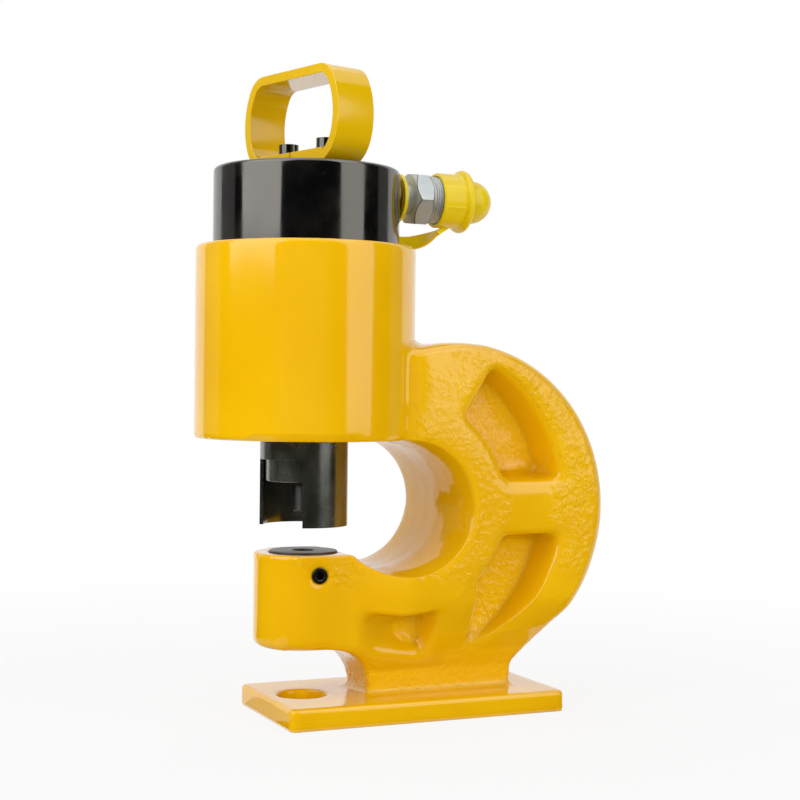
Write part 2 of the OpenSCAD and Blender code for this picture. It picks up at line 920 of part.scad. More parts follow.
module carry_handle() {
  color(enamel)
    translate([0, 0, head_top_z])
      difference() {
        rotate([0, 0, handle_angle])
          xz_plate(strap_w)
            difference() {
              union() {
                difference() {
                  handle_outline(0);
                  handle_outline(strap_t);
                }
                translate([-lap_len / 2, strap_t - cut])
                  square([lap_len, lap_t + cut]);
              }
              translate([-strap_split / 2, strap_t])
                square([strap_split, lap_t + cut]);
            }
        translate([0, 0, -cut])
          at_handle_screws()
            cylinder(d = handle_screw_d + 2 * free_gap, h = strap_t + lap_t + 2 * cut);
      }
}

module handle_screws() {
  screw_head_d = handle_screw_d * screw_head_share;
  socket_af = handle_screw_d * screw_socket_share;
  color(black_oxide)
    translate([0, 0, head_top_z - handle_thread_len])
      at_handle_screws() {
        cylinder(d = handle_screw_d, h = handle_thread_len + strap_t + lap_t + cut);
        translate([0, 0, handle_thread_len + strap_t + lap_t])
          difference() {
            cylinder(d = screw_head_d, h = handle_screw_d);
            translate([0, 0, handle_screw_d / 2])
              cylinder(d = socket_af / cos(30), h = handle_screw_d, $fn = 6);
          }
      }
}

module coupler_washer() {
  color(bronze)
    turned_on_x(washer_x, coupler_z)
      ring(washer_d / 2, adapter_d / 2 + seat_clear, washer_t);
}

inner_thread = hex_len / 2;

module coupler_adapter() {
  color(steel)
    difference() {
      union() {
        turned_on_x(head_r - adapter_thread, coupler_z)
          cylinder(d = adapter_d, h = hex_x + inner_thread - head_r + adapter_thread);
        turned_on_x(neck_x, coupler_z)
          cylinder(d = neck_d, h = neck_len);
      }
      turned_on_x(head_r - adapter_thread - cut, coupler_z)
        cylinder(d = oil_d, h = adapter_thread + hex_x + inner_thread);
    }
}

module coupler_body() {
  color(steel)
    difference() {
      union() {
        turned_on_x(hex_x, coupler_z)
          rotate([0, 0, hex_turn])
            cylinder(d = hex_af / cos(30), h = hex_len, $fn = 6);
        turned_on_x(collar_x, coupler_z)
          cylinder(d = collar_d, h = collar_len);
      }
      turned_on_x(hex_x - cut, coupler_z)
        cylinder(d = adapter_d + 2 * seat_clear, h = inner_thread + cut);
      turned_on_x(hex_x, coupler_z)
        cylinder(d = oil_d, h = hex_len);
      turned_on_x(chamber_x, coupler_z)
        cylinder(r = chamber_r, h = seat_x - chamber_x);
      turned_on_x(seat_x - cut, coupler_z)
        cylinder(d = seat_d, h = seat_wall + 2 * cut);
    }
}

module coupler_seat_ring() {
  color(steel)
    turned_on_x(chamber_x, coupler_z)
      ring(chamber_r - seat_clear, oil_d / 2, seat_ring_t);
}

module coupler_poppet() {
  guide_r = chamber_r - run_clear;
  color(bronze) {
    turned_on_x(poppet_x, coupler_z)
      difference() {
        cylinder(r = guide_r, h = poppet_guide_t - free_gap);
        for (turn = [0:90:270])
          rotate([0, 0, turn])
            translate([guide_r, 0, -cut])
              cylinder(r = oil_d / 3, h = poppet_guide_t + cut);
      }
    turned_on_x(poppet_x, coupler_z)
      cylinder(d = seat_d - oil_d / 2, h = poppet_guide_t + seat_wall - free_gap);
  }
}

module coupler_spring() {
  from_x = chamber_x + seat_ring_t + free_gap;
  color(spring_steel)
    turned_on_x(from_x, coupler_z)
      coil((chamber_r + oil_d / 2) / 2, valve_wire, poppet_x - from_x - free_gap, valve_turns);
}

module dust_cap() {
  dome_r = cap_dome_d / 2;
  color(cap_yellow)
    turned_on_x(cap_x, coupler_z)
      difference() {
        union() {
          cylinder(d = cap_d, h = cap_skirt + cap_flange_t);
          translate([0, 0, cap_skirt])
            cylinder(d = cap_flange_d, h = cap_flange_t);
          translate([0, 0, cap_skirt])
            cylinder(d = cap_dome_d, h = cap_flange_t + cap_dome_len - dome_r);
          translate([0, 0, cap_skirt + cap_flange_t + cap_dome_len - dome_r])
            sphere(r = dome_r);
        }
        translate([0, 0, -cut])
          cylinder(d = collar_d + 2 * free_gap, h = collar_end_x - cap_x + free_gap + cut);
      }
}

module cap_ring() {
  color(cap_yellow)
    turned_on_x(ring_x, coupler_z)
      ring(ring_d / 2, neck_d / 2 + free_gap, ring_t);
}

function bezier(p, t) =
  p[0] * (1 - t) ^ 3 + 3 * p[1] * t * (1 - t) ^ 2 + 3 * p[2] * t ^ 2 * (1 - t) + p[3] * t ^ 3;
function slope(p, t) =
  (p[1] - p[0]) * (1 - t) ^ 2 + 2 * (p[2] - p[1]) * t * (1 - t) + (p[3] - p[2]) * t ^ 2;
function unit(v) = v / norm(v);

// A flat band swept along the route, turning from the cap's axis into the ring's plane
module cap_strap() {
  corners = [[-1, -1], [1, -1], [1, 1], [-1, 1]];
  count = len(corners);
  points = [
    for (i = [0:tether_steps], c = corners)
      let (
        t = i / tether_steps,
        along = unit(slope(tether_route, t)),
        lean = tether_wide_at_cap * (1 - t) + tether_wide_at_ring * t,
        wide = unit(lean - along * (lean * along)),
        thick = cross(along, wide)
      )
      bezier(tether_route, t) + wide * c[0] * tether_w / 2 + thick * c[1] * tether_t / 2
  ];
  sides = [
    for (i = [0:tether_steps - 1], k = [0:count - 1], half = [0, 1])
      let (
        a = i * count + k,
        b = i * count + (k + 1) % count
      )
      half == 0 ? [a, a + count, b + count] : [a, b + count, b]
  ];
  start_cap = [[0, 1, 2], [0, 2, 3]];
  last = tether_steps * count;
  end_cap = [[last, last + 2, last + 1], [last, last + 3, last + 2]];
  color(cap_yellow)
    polyhedron(points = points, faces = concat(sides, start_cap, end_cap), convexity = 4);
}

base_plate();
c_frame();
die_jaw();
cylinder_barrel();
die();
die_set_screw();
stripper();
stripper_screw();
rod_bush();
rod_wiper();
ram();
piston_seal();
piston_backup_ring();
piston_guide_ring();
return_spring();
punch_nut();
punch();
cylinder_head();
head_seal();
carry_handle();
handle_screws();
coupler_adapter();
coupler_washer();
coupler_body();
coupler_poppet();
coupler_spring();
coupler_seat_ring();
dust_cap();
cap_ring();
cap_strap();
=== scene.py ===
"""Looks of a portable hydraulic hole punch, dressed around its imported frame.

Everything is in metres. The origin is where the punch axis meets the underside of the
base plate, X runs from the die jaw towards the back of the C-frame, and Z is up.
"""

import json
import logging
import math
from collections.abc import Callable, Iterable, Sequence
from dataclasses import dataclass
from enum import Enum

import bmesh
import bpy
import numpy as np
from bmesh.types import BMEdge, BMesh, BMFace, BMVert
from bpy.types import ID, Material, Mesh, NodeSocket, NodeTree, Object
from mathutils import Matrix, Vector, noise

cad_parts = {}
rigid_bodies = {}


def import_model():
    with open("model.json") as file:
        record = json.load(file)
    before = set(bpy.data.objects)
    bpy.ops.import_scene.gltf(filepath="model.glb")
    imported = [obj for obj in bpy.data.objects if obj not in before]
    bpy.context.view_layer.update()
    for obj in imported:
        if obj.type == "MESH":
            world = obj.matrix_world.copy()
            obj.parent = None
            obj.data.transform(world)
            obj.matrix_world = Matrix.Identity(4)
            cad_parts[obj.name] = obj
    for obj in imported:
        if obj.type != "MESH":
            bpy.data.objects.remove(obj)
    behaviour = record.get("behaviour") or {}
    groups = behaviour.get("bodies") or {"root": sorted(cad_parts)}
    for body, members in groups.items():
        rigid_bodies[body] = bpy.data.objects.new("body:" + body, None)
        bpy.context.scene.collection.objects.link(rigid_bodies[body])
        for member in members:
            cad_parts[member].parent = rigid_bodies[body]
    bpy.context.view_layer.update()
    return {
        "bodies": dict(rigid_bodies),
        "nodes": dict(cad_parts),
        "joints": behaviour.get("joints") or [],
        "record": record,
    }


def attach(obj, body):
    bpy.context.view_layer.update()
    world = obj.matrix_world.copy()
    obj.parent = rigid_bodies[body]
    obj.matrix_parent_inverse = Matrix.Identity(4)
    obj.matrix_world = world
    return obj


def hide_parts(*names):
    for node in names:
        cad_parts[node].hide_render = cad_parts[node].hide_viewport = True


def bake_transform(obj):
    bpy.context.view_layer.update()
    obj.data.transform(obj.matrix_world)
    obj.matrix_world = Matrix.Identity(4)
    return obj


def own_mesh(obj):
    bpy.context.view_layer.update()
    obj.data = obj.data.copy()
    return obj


LOG = logging.getLogger("hole_punch")
MM = 0.001
SAME = 0.001 * MM
PORT_Z = 334 * MM
X, Y, Z = range(3)

Array = np.ndarray
Colour = tuple[float, float, float]
Point = tuple[float, float, float]
Pair = tuple[float, float]
Outline = list[Pair]
Zone = tuple[tuple[int, float, float], ...]


def mm(*lengths: float) -> tuple[float, ...]:
    """Millimetres as metres."""
    return tuple(length * MM for length in lengths)


class Body(Enum):
    """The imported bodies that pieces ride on."""

    FRAME = "frame"
    RAM = "ram"
    DUST_CAP = "dust_cap"


class Slot(Enum):
    """The record's material slots."""

    ENAMEL = "yellow_enamel"
    OXIDE = "black_oxide"
    GROUND = "ground_steel"
    SPRING = "spring_steel"
    ZINC = "zinc_plate"
    BRONZE = "bronze"
    RUBBER = "seal_rubber"
    WHITE = "white_plastic"
    CAP = "cap_plastic"


class Sock:
    """A shader socket that takes part in Python expressions."""

    def __init__(self, nodes: "Nodes", socket: NodeSocket) -> None:
        """Wraps one output socket of a node in a tree."""
        self.nodes = nodes
        self.socket = socket

    def out(self, name: str) -> "Sock":
        """Another output of the same node."""
        return Sock(self.nodes, self.socket.node.outputs[name])

    def __add__(self, other: "Sock | float") -> "Sock":
        """Sum."""
        return self.nodes.math("ADD", self, other)

    __radd__ = __add__

    def __sub__(self, other: "Sock | float") -> "Sock":
        """Difference."""
        return self.nodes.math("SUBTRACT", self, other)

    def __rsub__(self, other: float) -> "Sock":
        """Difference with a number in front."""
        return self.nodes.math("SUBTRACT", other, self)

    def __mul__(self, other: "Sock | float") -> "Sock":
        """Product."""
        return self.nodes.math("MULTIPLY", self, other)

    __rmul__ = __mul__

    def ramp(self, low: float, high: float) -> "Sock":
        """A smooth step from 0 at low to 1 at high."""
        settings = {"interpolation_type": "SMOOTHSTEP"}
        sockets = {"Value": self, "From Min": low, "From Max": high}
        return self.nodes.node("ShaderNodeMapRange", settings, sockets)


class Nodes:
    """A node tree under construction."""

    def __init__(self, tree: NodeTree) -> None:
        """Starts on a tree."""
        self.tree = tree

    def node(
        self,
        kind: str,
        settings: dict[str, object] | None = None,
        sockets: dict[str | int, object] | None = None,
        out: str | int = 0,
    ) -> Sock:
        """Adds a node.

        Args:
            kind: the node's type.
            settings: properties that are set first.
            sockets: values or links of its inputs, by name or place.
            out: the output that is returned.

        Returns:
            The wrapped output.
        """
        made = self.tree.nodes.new(kind)
        for key, value in (settings or {}).items():
            setattr(made, key, value)
        for key, value in (sockets or {}).items():
            self.feed(made.inputs[key], value)
        return Sock(self, made.outputs[out])

    def feed(self, socket: NodeSocket, value: object) -> None:
        """Links a wrapped socket to an input, or sets the input's own value."""
        if isinstance(value, Sock):
            self.tree.links.new(value.socket, socket)
        elif isinstance(value, tuple) and socket.type == "RGBA" and len(value) == 3:
            socket.default_value = (*value, 1.0)
        else:
            socket.default_value = value

    def math(self, operation: str, a: "Sock | float", b: "Sock | float") -> Sock:
        """One Math node."""
        return self.node("ShaderNodeMath", {"operation": operation}, {0: a, 1: b})

    def mix(self, factor: "Sock | float", a: "Sock | Colour", b: "Sock | Colour") -> Sock:
        """Mixes two colours."""
        return self.node("ShaderNodeMix", {"data_type": "RGBA"}, {0: factor, 6: a, 7: b}, 2)

    def place(self, scale: Point = (1.0, 1.0, 1.0)) -> Sock:
        """Object coordinates, stretched by scale."""
        where = self.node("ShaderNodeTexCoord", out="Object")
        if scale == (1.0, 1.0, 1.0):
            return where
        return self.node("ShaderNodeMapping", None, {"Vector": where, "Scale": scale})

    def noise(
        self, size: float, detail: float = 2.0, stretch: Point = (1.0, 1.0, 1.0), rough: float = 0.5
    ) -> Sock:
        """Cloudy noise, from 0 to 1, whose blobs are about size metres across."""
        sockets = {"Vector": self.place(stretch), "Scale": 0.5 / size}
        sockets |= {"Detail": detail, "Roughness": rough}
        return self.node("ShaderNodeTexNoise", None, sockets)

    def attribute(self, name: str) -> Sock:
        """A number that the mesh stores at its vertices."""
        return self.node("ShaderNodeAttribute", {"attribute_name": name}, out="Fac")

    def bump(self, height: Sock, depth: float, normal: "Sock | None" = None) -> Sock:
        """A Bump node over height, which stands depth metres tall."""
        sockets = {"Height": height, "Distance": depth, "Strength": 1.0}
        if normal:
            sockets["Normal"] = normal
        return self.node("ShaderNodeBump", None, sockets)


class Recipe(Nodes):
    """The node tree of one material, around its Principled shader."""

    def __init__(self, name: str) -> None:
        """Starts a material of that name."""
        self.material = bpy.data.materials.new(name)
        self.material.use_nodes = True
        super().__init__(self.material.node_tree)
        self.shader = self.tree.nodes["Principled BSDF"]

    def surface(self, **sockets: object) -> Material:
        """Feeds the Principled shader, base_color into Base Color and so on."""
        for key, value in sockets.items():
            words = key.replace("_", " ").title().replace("Ior", "IOR")
            self.feed(self.shader.inputs[words], value)
        return self.material


@dataclass(frozen=True)
class Enamel:
    """Thick glossy paint, over the casting's sand-cast grain where the mesh asks for it."""

    name: str = "yellow_enamel"
    colour: Colour = (0.80, 0.425, 0.0006)
    # a paler yellow, for random tone and for the painted highlight on edges
    pale: Colour = (0.845, 0.475, 0.0012)
    # painted shade: a darker orange that the hollows take, standing in for the shade there
    painted_hollow_shade: Colour = (0.60, 0.255, 0.0)
    # painted light: a lighter yellow for the pocket floors, against the shade that falls in them
    painted_floor_light: Colour = (0.95, 0.545, 0.001)
    chip: Colour = (0.05, 0.035, 0.02)
    roughness: float = 0.095
    grain: float = 2.0 * MM
    grain_depth: float = 0.72 * MM
    ripple: float = 9 * MM
    ripple_depth: float = 0.8 * MM
    draft: float = 0.04
    parting: float = 9 * MM
    mouth: float = 0.34
    half_width: float = 55 * MM
    peel: float = 3.2 * MM
    peel_depth: float = 0.012 * MM
    cloud: float = 45 * MM
    chips: float = 2.2 * MM
    glints: float = 0.9 * MM
    patches: float = 11 * MM
    wander: float = 15 * MM
    wander_reach: float = 70 * MM

    def make(self) -> Material:
        """Builds the material."""
        r = Recipe(self.name)
        marks = ("cast", "throat", "pocket", "hollow", "edge", "worn")
        cast, throat, pocket, hollow, edge, worn = (r.attribute(mark) for mark in marks)
        cloud = r.noise(self.cloud, 3.0)
        paint = r.mix(cloud.ramp(0.35, 0.7), self.colour, self.pale)
        # painted light: pocket floors are mixed towards the lighter yellow
        paint = r.mix(pocket, paint, self.painted_floor_light)
        # painted shade: hollows are mixed towards the darker orange
        paint = r.mix(hollow * 0.3, paint, self.painted_hollow_shade)
        # painted highlight: edges are mixed towards the paler yellow
        paint = r.mix(edge * 0.3, paint, self.pale)
        speck = r.noise(self.chips, 2.0).ramp(0.66, 0.7) * worn
        colour = r.mix(speck, paint, self.chip)
        lumps = r.noise(self.grain, 2.0, rough=0.45).ramp(0.3, 0.75)
        glints = r.noise(self.glints, 1.0).ramp(0.45, 0.8)
        patchy = r.noise(self.patches, 2.0).ramp(0.34, 0.58)
        wavy = throat + cast * 0.35
        peel = r.bump(r.noise(self.peel, 1.0), self.peel_depth, self.drawn(r, throat))
        rolling = r.bump(r.noise(self.ripple, 1.5, (0.5, 1.0, 0.5)) * wavy, self.ripple_depth, peel)
        grain = (lumps + glints * 0.2) * cast * (0.35 + patchy * 0.65)
        normal = r.bump(grain, self.grain_depth, rolling)
        rough = self.roughness + cloud * 0.03 + cast * 0.03 + speck * 0.4
        r.surface(base_color=colour, roughness=rough, normal=normal, ior=1.5)
        return r.surface(coat_weight=(1.0 - throat) * 0.35, coat_roughness=0.05)

    def drawn(self, r: Recipe, throat: Sock) -> Sock:
        """The normal of a throat that was drawn to both sides of an uneven parting line."""
        across = r.node("ShaderNodeSeparateXYZ", None, {0: r.place()}, "Y")
        across = across + (r.noise(self.wander, 2.0) - 0.5) * self.wander_reach
        near = (across * (1 / self.half_width) + 1.0).ramp(0.9, 0.0)
        lean = across.ramp(-self.parting, self.parting) * (3 * self.draft) - 2 * self.draft
        lean = (lean - near * self.mouth) * throat
        level = r.node("ShaderNodeNewGeometry", out="Normal")
        side = r.node("ShaderNodeCombineXYZ", None, {"Y": lean})
        leaning = r.node("ShaderNodeVectorMath", {"operation": "ADD"}, {0: level, 1: side})
        return r.node("ShaderNodeVectorMath", {"operation": "NORMALIZE"}, {0: leaning})


@dataclass(frozen=True)
class BlackOxide:
    """Black oxide on turned steel: near black, with a brown cast where it reflects."""

    name: str
    colour: Colour
    rubbed: Colour
    roughness: float
    ior: float = 2.05
    tint: Colour = (1.0, 0.945, 0.87)
    specks: float = 0.81
    speck: Colour = (0.07, 0.068, 0.065)
    patches: float = 13 * MM
    turning: float = 0.9 * MM
    turning_depth: float = 0.004 * MM
    dust: float = 0.8 * MM

    def make(self) -> Material:
        """Builds the material."""
        r = Recipe(self.name)
        patch = r.noise(self.patches, 4.0).ramp(0.38, 0.68)
        turning = r.noise(self.turning, 2.0, (0.12, 0.12, 1.0))
        dust = r.noise(self.dust, 0.0).ramp(self.specks, self.specks + 0.03)
        colour = r.mix(patch, self.colour, self.rubbed)
        colour = r.mix(dust * 0.3, colour, self.speck)
        rough = self.roughness + patch * 0.07 + turning * 0.04 + dust * 0.04
        normal = r.bump(turning, self.turning_depth)
        r.surface(base_color=colour, roughness=rough, normal=normal, ior=self.ior)
        return r.surface(specular_tint=self.tint)


@dataclass(frozen=True)
class BareSteel:
    """Ground, turned or drawn steel, with fine tool lines across the given stretch."""

    name: str
    colour: Colour
    roughness: float
    stretch: Point = (0.08, 0.08, 1.0)
    lines: float = 0.5 * MM
    line_depth: float = 0.006 * MM
    haze: float = 8 * MM
    dulled: float = 0.78

    def make(self) -> Material:
        """Builds the material."""
        r = Recipe(self.name)
        lines = r.noise(self.lines, 2.0, self.stretch)
        haze = r.noise(self.haze, 3.0)
        dull = tuple(c * self.dulled for c in self.colour)
        rough = self.roughness + lines * 0.1 + haze * 0.08
        normal = r.bump(lines, self.line_depth)
        colour = r.mix(haze.ramp(0.35, 0.7), self.colour, dull)
        return r.surface(base_color=colour, roughness=rough, normal=normal, metallic=1.0)


@dataclass(frozen=True)
class ZincPlate:
    """Bright zinc plate with the faint blue and straw clouds of its passivation."""

    name: str = "zinc_plate"
    colour: Colour = (0.55, 0.57, 0.55)
    blue: Colour = (0.47, 0.52, 0.54)
    straw: Colour = (0.54, 0.51, 0.41)
    roughness: float = 0.4
    bloom: float = 0.3
    cloud: float = 7 * MM
    tarnish: float = 3 * MM
    skin: float = 0.7 * MM
    skin_depth: float = 0.01 * MM

    def make(self) -> Material:
        """Builds the material."""
        r = Recipe(self.name)
        cloud = r.noise(self.cloud, 3.0)
        tarnish = r.noise(self.tarnish, 2.0)
        colour = r.mix(cloud.ramp(0.45, 0.7), self.colour, self.blue)
        colour = r.mix(tarnish.ramp(0.55, 0.75) * 0.7, colour, self.straw)
        rough = self.roughness + tarnish * 0.14
        normal = r.bump(r.noise(self.skin, 2.0), self.skin_depth)
        bright = 1.0 - cloud.ramp(0.25, 0.75) * 0.2 - self.bloom
        return r.surface(base_color=colour, roughness=rough, normal=normal, metallic=bright)


@dataclass(frozen=True)
class Moulded:
    """Moulded plastic or rubber, with a faint mould texture and uneven gloss."""

    name: str
    colour: Colour
    shade: Colour
    roughness: float
    pores: float = 0.9 * MM
    depth: float = 0.012 * MM
    glow: float = 0.0
    gloss: float = 0.5
    flow: float = 9 * MM
    glow_reach: float = 3 * MM

    def make(self) -> Material:
        """Builds the material."""
        r = Recipe(self.name)
        flow = r.noise(self.flow, 2.0)
        pores = r.noise(self.pores, 2.0)
        rough = self.roughness + flow * 0.1 + pores * 0.04
        normal = r.bump(pores, self.depth)
        colour = r.mix(flow.ramp(0.35, 0.7), self.colour, self.shade)
        r.surface(base_color=colour, roughness=rough, normal=normal, specular_ior_level=self.gloss)
        return r.surface(subsurface_weight=self.glow, subsurface_scale=self.glow_reach)


class Finishes:
    """Every finish of the punch, built once and looked up by its slot."""

    def __init__(self) -> None:
        """Builds all the materials."""
        kinds = {
            Slot.ENAMEL: Enamel(),
            Slot.OXIDE: BlackOxide(
                "black_oxide", (0.0026, 0.0026, 0.0028), (0.0085, 0.0078, 0.0068), 0.07
            ),
            Slot.GROUND: BareSteel("ground_steel", (0.42, 0.42, 0.41), 0.24),
            Slot.SPRING: BareSteel("spring_steel", (0.25, 0.25, 0.26), 0.3),
            Slot.ZINC: ZincPlate(),
            Slot.BRONZE: BareSteel("bronze", (0.55, 0.36, 0.14), 0.26),
            Slot.RUBBER: Moulded("seal_rubber", (0.022, 0.022, 0.022), (0.035, 0.035, 0.034), 0.5),
            Slot.WHITE: Moulded("white_plastic", (0.78, 0.78, 0.75), (0.72, 0.71, 0.68), 0.4),
            Slot.CAP: Moulded(
                "cap_plastic", (0.80, 0.60, 0.004), (0.75, 0.54, 0.002), 0.15, glow=0.06, gloss=0.42
            ),
        }
        self.materials = {slot: kind.make() for slot, kind in kinds.items()}
        self.satin = BlackOxide(
            "satin_oxide", (0.016, 0.0165, 0.0125), (0.036, 0.037, 0.03), 0.16, ior=3.0,
            tint=(0.97, 1.0, 0.9), specks=0.68, speck=(0.075, 0.078, 0.064),
        ).make()
        self.die = BlackOxide(
            "die_oxide", (0.03, 0.023, 0.015), (0.055, 0.042, 0.028), 0.36, ior=1.7
        ).make()
        # painted shade: a near-black finish for thin lines along the hexagon's chamfer edges
        self.hex_shade_lines = BlackOxide(
            "painted_hex_shade", (0.03, 0.03, 0.027), (0.06, 0.06, 0.05), 0.5, ior=1.5
        ).make()
        # painted light: the tether strap's plastic is a brighter copy of the cap's, lightened
        # against the shade it sits in
        self.tether = Moulded(
            "tether_plastic", (0.95, 0.74, 0.006), (0.9, 0.68, 0.004), 0.24, glow=0.12, gloss=0.3
        ).make()
        self.bent_strap = Enamel("strap_enamel", (0.75, 0.45, 0.0006), (0.8, 0.5, 0.0012)).make()

    def dress(self, obj: Object, slot: Slot) -> None:
        """Puts a slot's finish on a mesh; clearing an empty list would reset its faces' slots."""
        if obj.data.materials:
            obj.data.materials.clear()
        obj.data.materials.append(self.materials[slot])


@dataclass(frozen=True)
class Stand:
    """What a new piece is: its name, its body, its finish and the nodes that it stands for."""

    name: str
    slot: Slot
    nodes: tuple[str, ...]
    body: Body = Body.FRAME
    crease: float = math.radians(40)
    flatten: bool = True


def linked(name: str, data: ID) -> Object:
    """A new object in the scene, at the origin."""
    obj = bpy.data.objects.new(name, data)
    bpy.context.scene.collection.objects.link(obj)
    return obj


def mesh_object(name: str, bm: BMesh) -> Object:
    """Turns a bmesh into an object in the scene and frees it."""
    mesh = bpy.data.meshes.new(name)
    bm.to_mesh(mesh)
    bm.free()
    return linked(name, mesh)


class Bench:
    """Where meshes become pieces of the part."""

    def __init__(self, frame: dict[str, object], finishes: Finishes) -> None:
        """Keeps the frame and the finishes at hand."""
        self.nodes: dict[str, Object] = frame["nodes"]
        self.record: dict[str, object] = frame["record"]
        self.finishes = finishes

    def joined(self, *names: str) -> BMesh:
        """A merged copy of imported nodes."""
        bm = bmesh.new()
        for name in names:
            bm.from_mesh(self.nodes[name].data)
        bmesh.ops.remove_doubles(bm, verts=bm.verts, dist=SAME)
        return bm

    def finish(self, stand: Stand, obj: Object, ride: bool = True) -> Object:
        """Shades a piece, dresses it and gives it its place in the part.

        Args:
            stand: what the piece is.
            obj: the piece, at the origin.
            ride: whether it rides on its body; a piece that bends between two doesn't.

        Returns:
            The same object.
        """
        obj.data.shade_smooth()
        obj.data.set_sharp_from_angle(angle=stand.crease)
        if stand.flatten:
            even = obj.modifiers.new("even normals", "WEIGHTED_NORMAL")
            even.keep_sharp = True
        self.finishes.dress(obj, stand.slot)
        if ride:
            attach(obj, stand.body.value)
        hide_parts(*stand.nodes)
        LOG.info("%s: %d faces", stand.name, len(obj.data.polygons))
        return obj

    def add(self, stand: Stand, bm: BMesh) -> Object:
        """Makes a piece of a bmesh."""
        return self.finish(stand, mesh_object(stand.name, bm))

    def rounded(self, stand: Stand, width: float, segments: int = 3) -> Object:
        """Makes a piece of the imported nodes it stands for, with their edges rounded."""
        bm = self.joined(*stand.nodes)
        flat = math.radians(0.4)
        bmesh.ops.dissolve_limit(bm, angle_limit=flat, verts=bm.verts, edges=bm.edges)
        soften(bm, width, segments)
        return self.add(stand, bm)

    def dress_rest(self) -> None:
        """Puts the record's finish on each node that is still shown."""
        for row in self.record["subparts"]:
            node = self.nodes[row["node"]]
            if not node.hide_render:
                self.finishes.dress(node, Slot(row["material_slot"]))
                LOG.info("%s: kept, in %s", row["node"], row["material_slot"])


def soften(
    bm: BMesh,
    width: float,
    segments: int = 3,
    sharper: float = math.radians(30),
    where: Callable[[BMEdge], bool] | None = None,
) -> list[BMFace]:
    """Rounds the sharp edges of a mesh.

    Args:
        bm: the mesh.
        width: how far the rounding reaches from each edge.
        segments: faces across the rounding.
        sharper: the least angle between two faces that counts as sharp.
        where: picks among the sharp edges.

    Returns:
        The faces of the rounding.
    """
    edges = [e for e in bm.edges if e.is_manifold and e.calc_face_angle(0.0) > sharper]
    chosen = [e for e in edges if where is None or where(e)]
    made = bmesh.ops.bevel(
        bm, geom=chosen, offset=width, offset_type="OFFSET", segments=segments, profile=0.5,
        affect="EDGES", clamp_overlap=True, material=-1, loop_slide=True,
    )
    return made["faces"]


def arc(centre: Pair, radius: float, start: float, end: float, steps: int) -> Outline:
    """Points along an arc, from the angle start to the angle end, in degrees."""
    angles = [math.radians(start + (end - start) * i / steps) for i in range(steps + 1)]
    return [(centre[0] + radius * math.cos(a), centre[1] + radius * math.sin(a)) for a in angles]


def swept(points: Iterable[Sequence[float]], angle: float, steps: int, ring: bool = False) -> BMesh:
    """Sweeps a line of points about Z.

    Args:
        points: the line.
        angle: how far it is swept; the ends of a full turn are merged.
        steps: faces along the sweep.
        ring: whether the line closes on itself.

    Returns:
        The mesh.
    """
    bm = bmesh.new()
    verts = [bm.verts.new(point) for point in points]
    edges = [bm.edges.new(pair) for pair in zip(verts, verts[1:])]
    if ring:
        edges.append(bm.edges.new((verts[-1], verts[0])))
    bmesh.ops.spin(
        bm, geom=verts + edges, cent=(0, 0, 0), axis=(0, 0, 1), dvec=(0, 0, 0), angle=angle,
        steps=steps, use_merge=angle == 2 * math.pi, use_normal_flip=False, use_duplicate=False,
    )
    return bm


def turned(outline: Outline, steps: int = 96) -> BMesh:
    """A closed mesh turned about Z.

    Args:
        outline: points as radius and height, from the axis or round a closed ring.
        steps: faces round the axis.

    Returns:
        The mesh.
    """
    ring = min(outline[0][0], outline[-1][0]) > 0
    bm = swept([(radius, 0.0, height) for radius, height in outline], 2 * math.pi, steps, ring)
    bmesh.ops.remove_doubles(bm, verts=bm.verts, dist=2 * SAME)
    bmesh.ops.recalc_face_normals(bm, faces=bm.faces)
    return bm


def hexed(bm: BMesh, corner: float, turn: float) -> None:
    """Presses the rim of a mesh turned about Z into a hexagon.

    Args:
        bm: the mesh.
        corner: the radius of the rim, which stays that of the hexagon's corners.
        turn: the angle of one corner, in degrees.
    """
    sixth = math.radians(60)
    for v in bm.verts:
        if abs(math.hypot(v.co.x, v.co.y) - corner) < SAME:
            angle = math.atan2(v.co.y, v.co.x) - math.radians(turn)
            share = math.cos(sixth / 2) / math.cos(angle % sixth - sixth / 2)
            v.co.x *= share
            v.co.y *= share


def to_port(bm: BMesh) -> BMesh:
    """Lays a mesh turned about Z along X, at the height of the hose port."""
    lay = Matrix.Translation((0, 0, PORT_Z)) @ Matrix.Rotation(math.pi / 2, 4, "Y")
    bmesh.ops.transform(bm, matrix=lay, verts=bm.verts)
    return bm


def step(value: Array, off: float, full: float) -> Array:
    """A smooth step from 0 at off to 1 at full, which may also lie below off."""
    t = np.clip((value - off) / (full - off), 0.0, 1.0)
    return t * t * (3 - 2 * t)


def within(places: Array, zone: Zone) -> Array:
    """A mask of places: the product of a zone's steps along the axes, given in mm."""
    steps = [step(places[:, axis], off * MM, full * MM) for axis, off, full in zone]
    return np.prod(steps, axis=0)


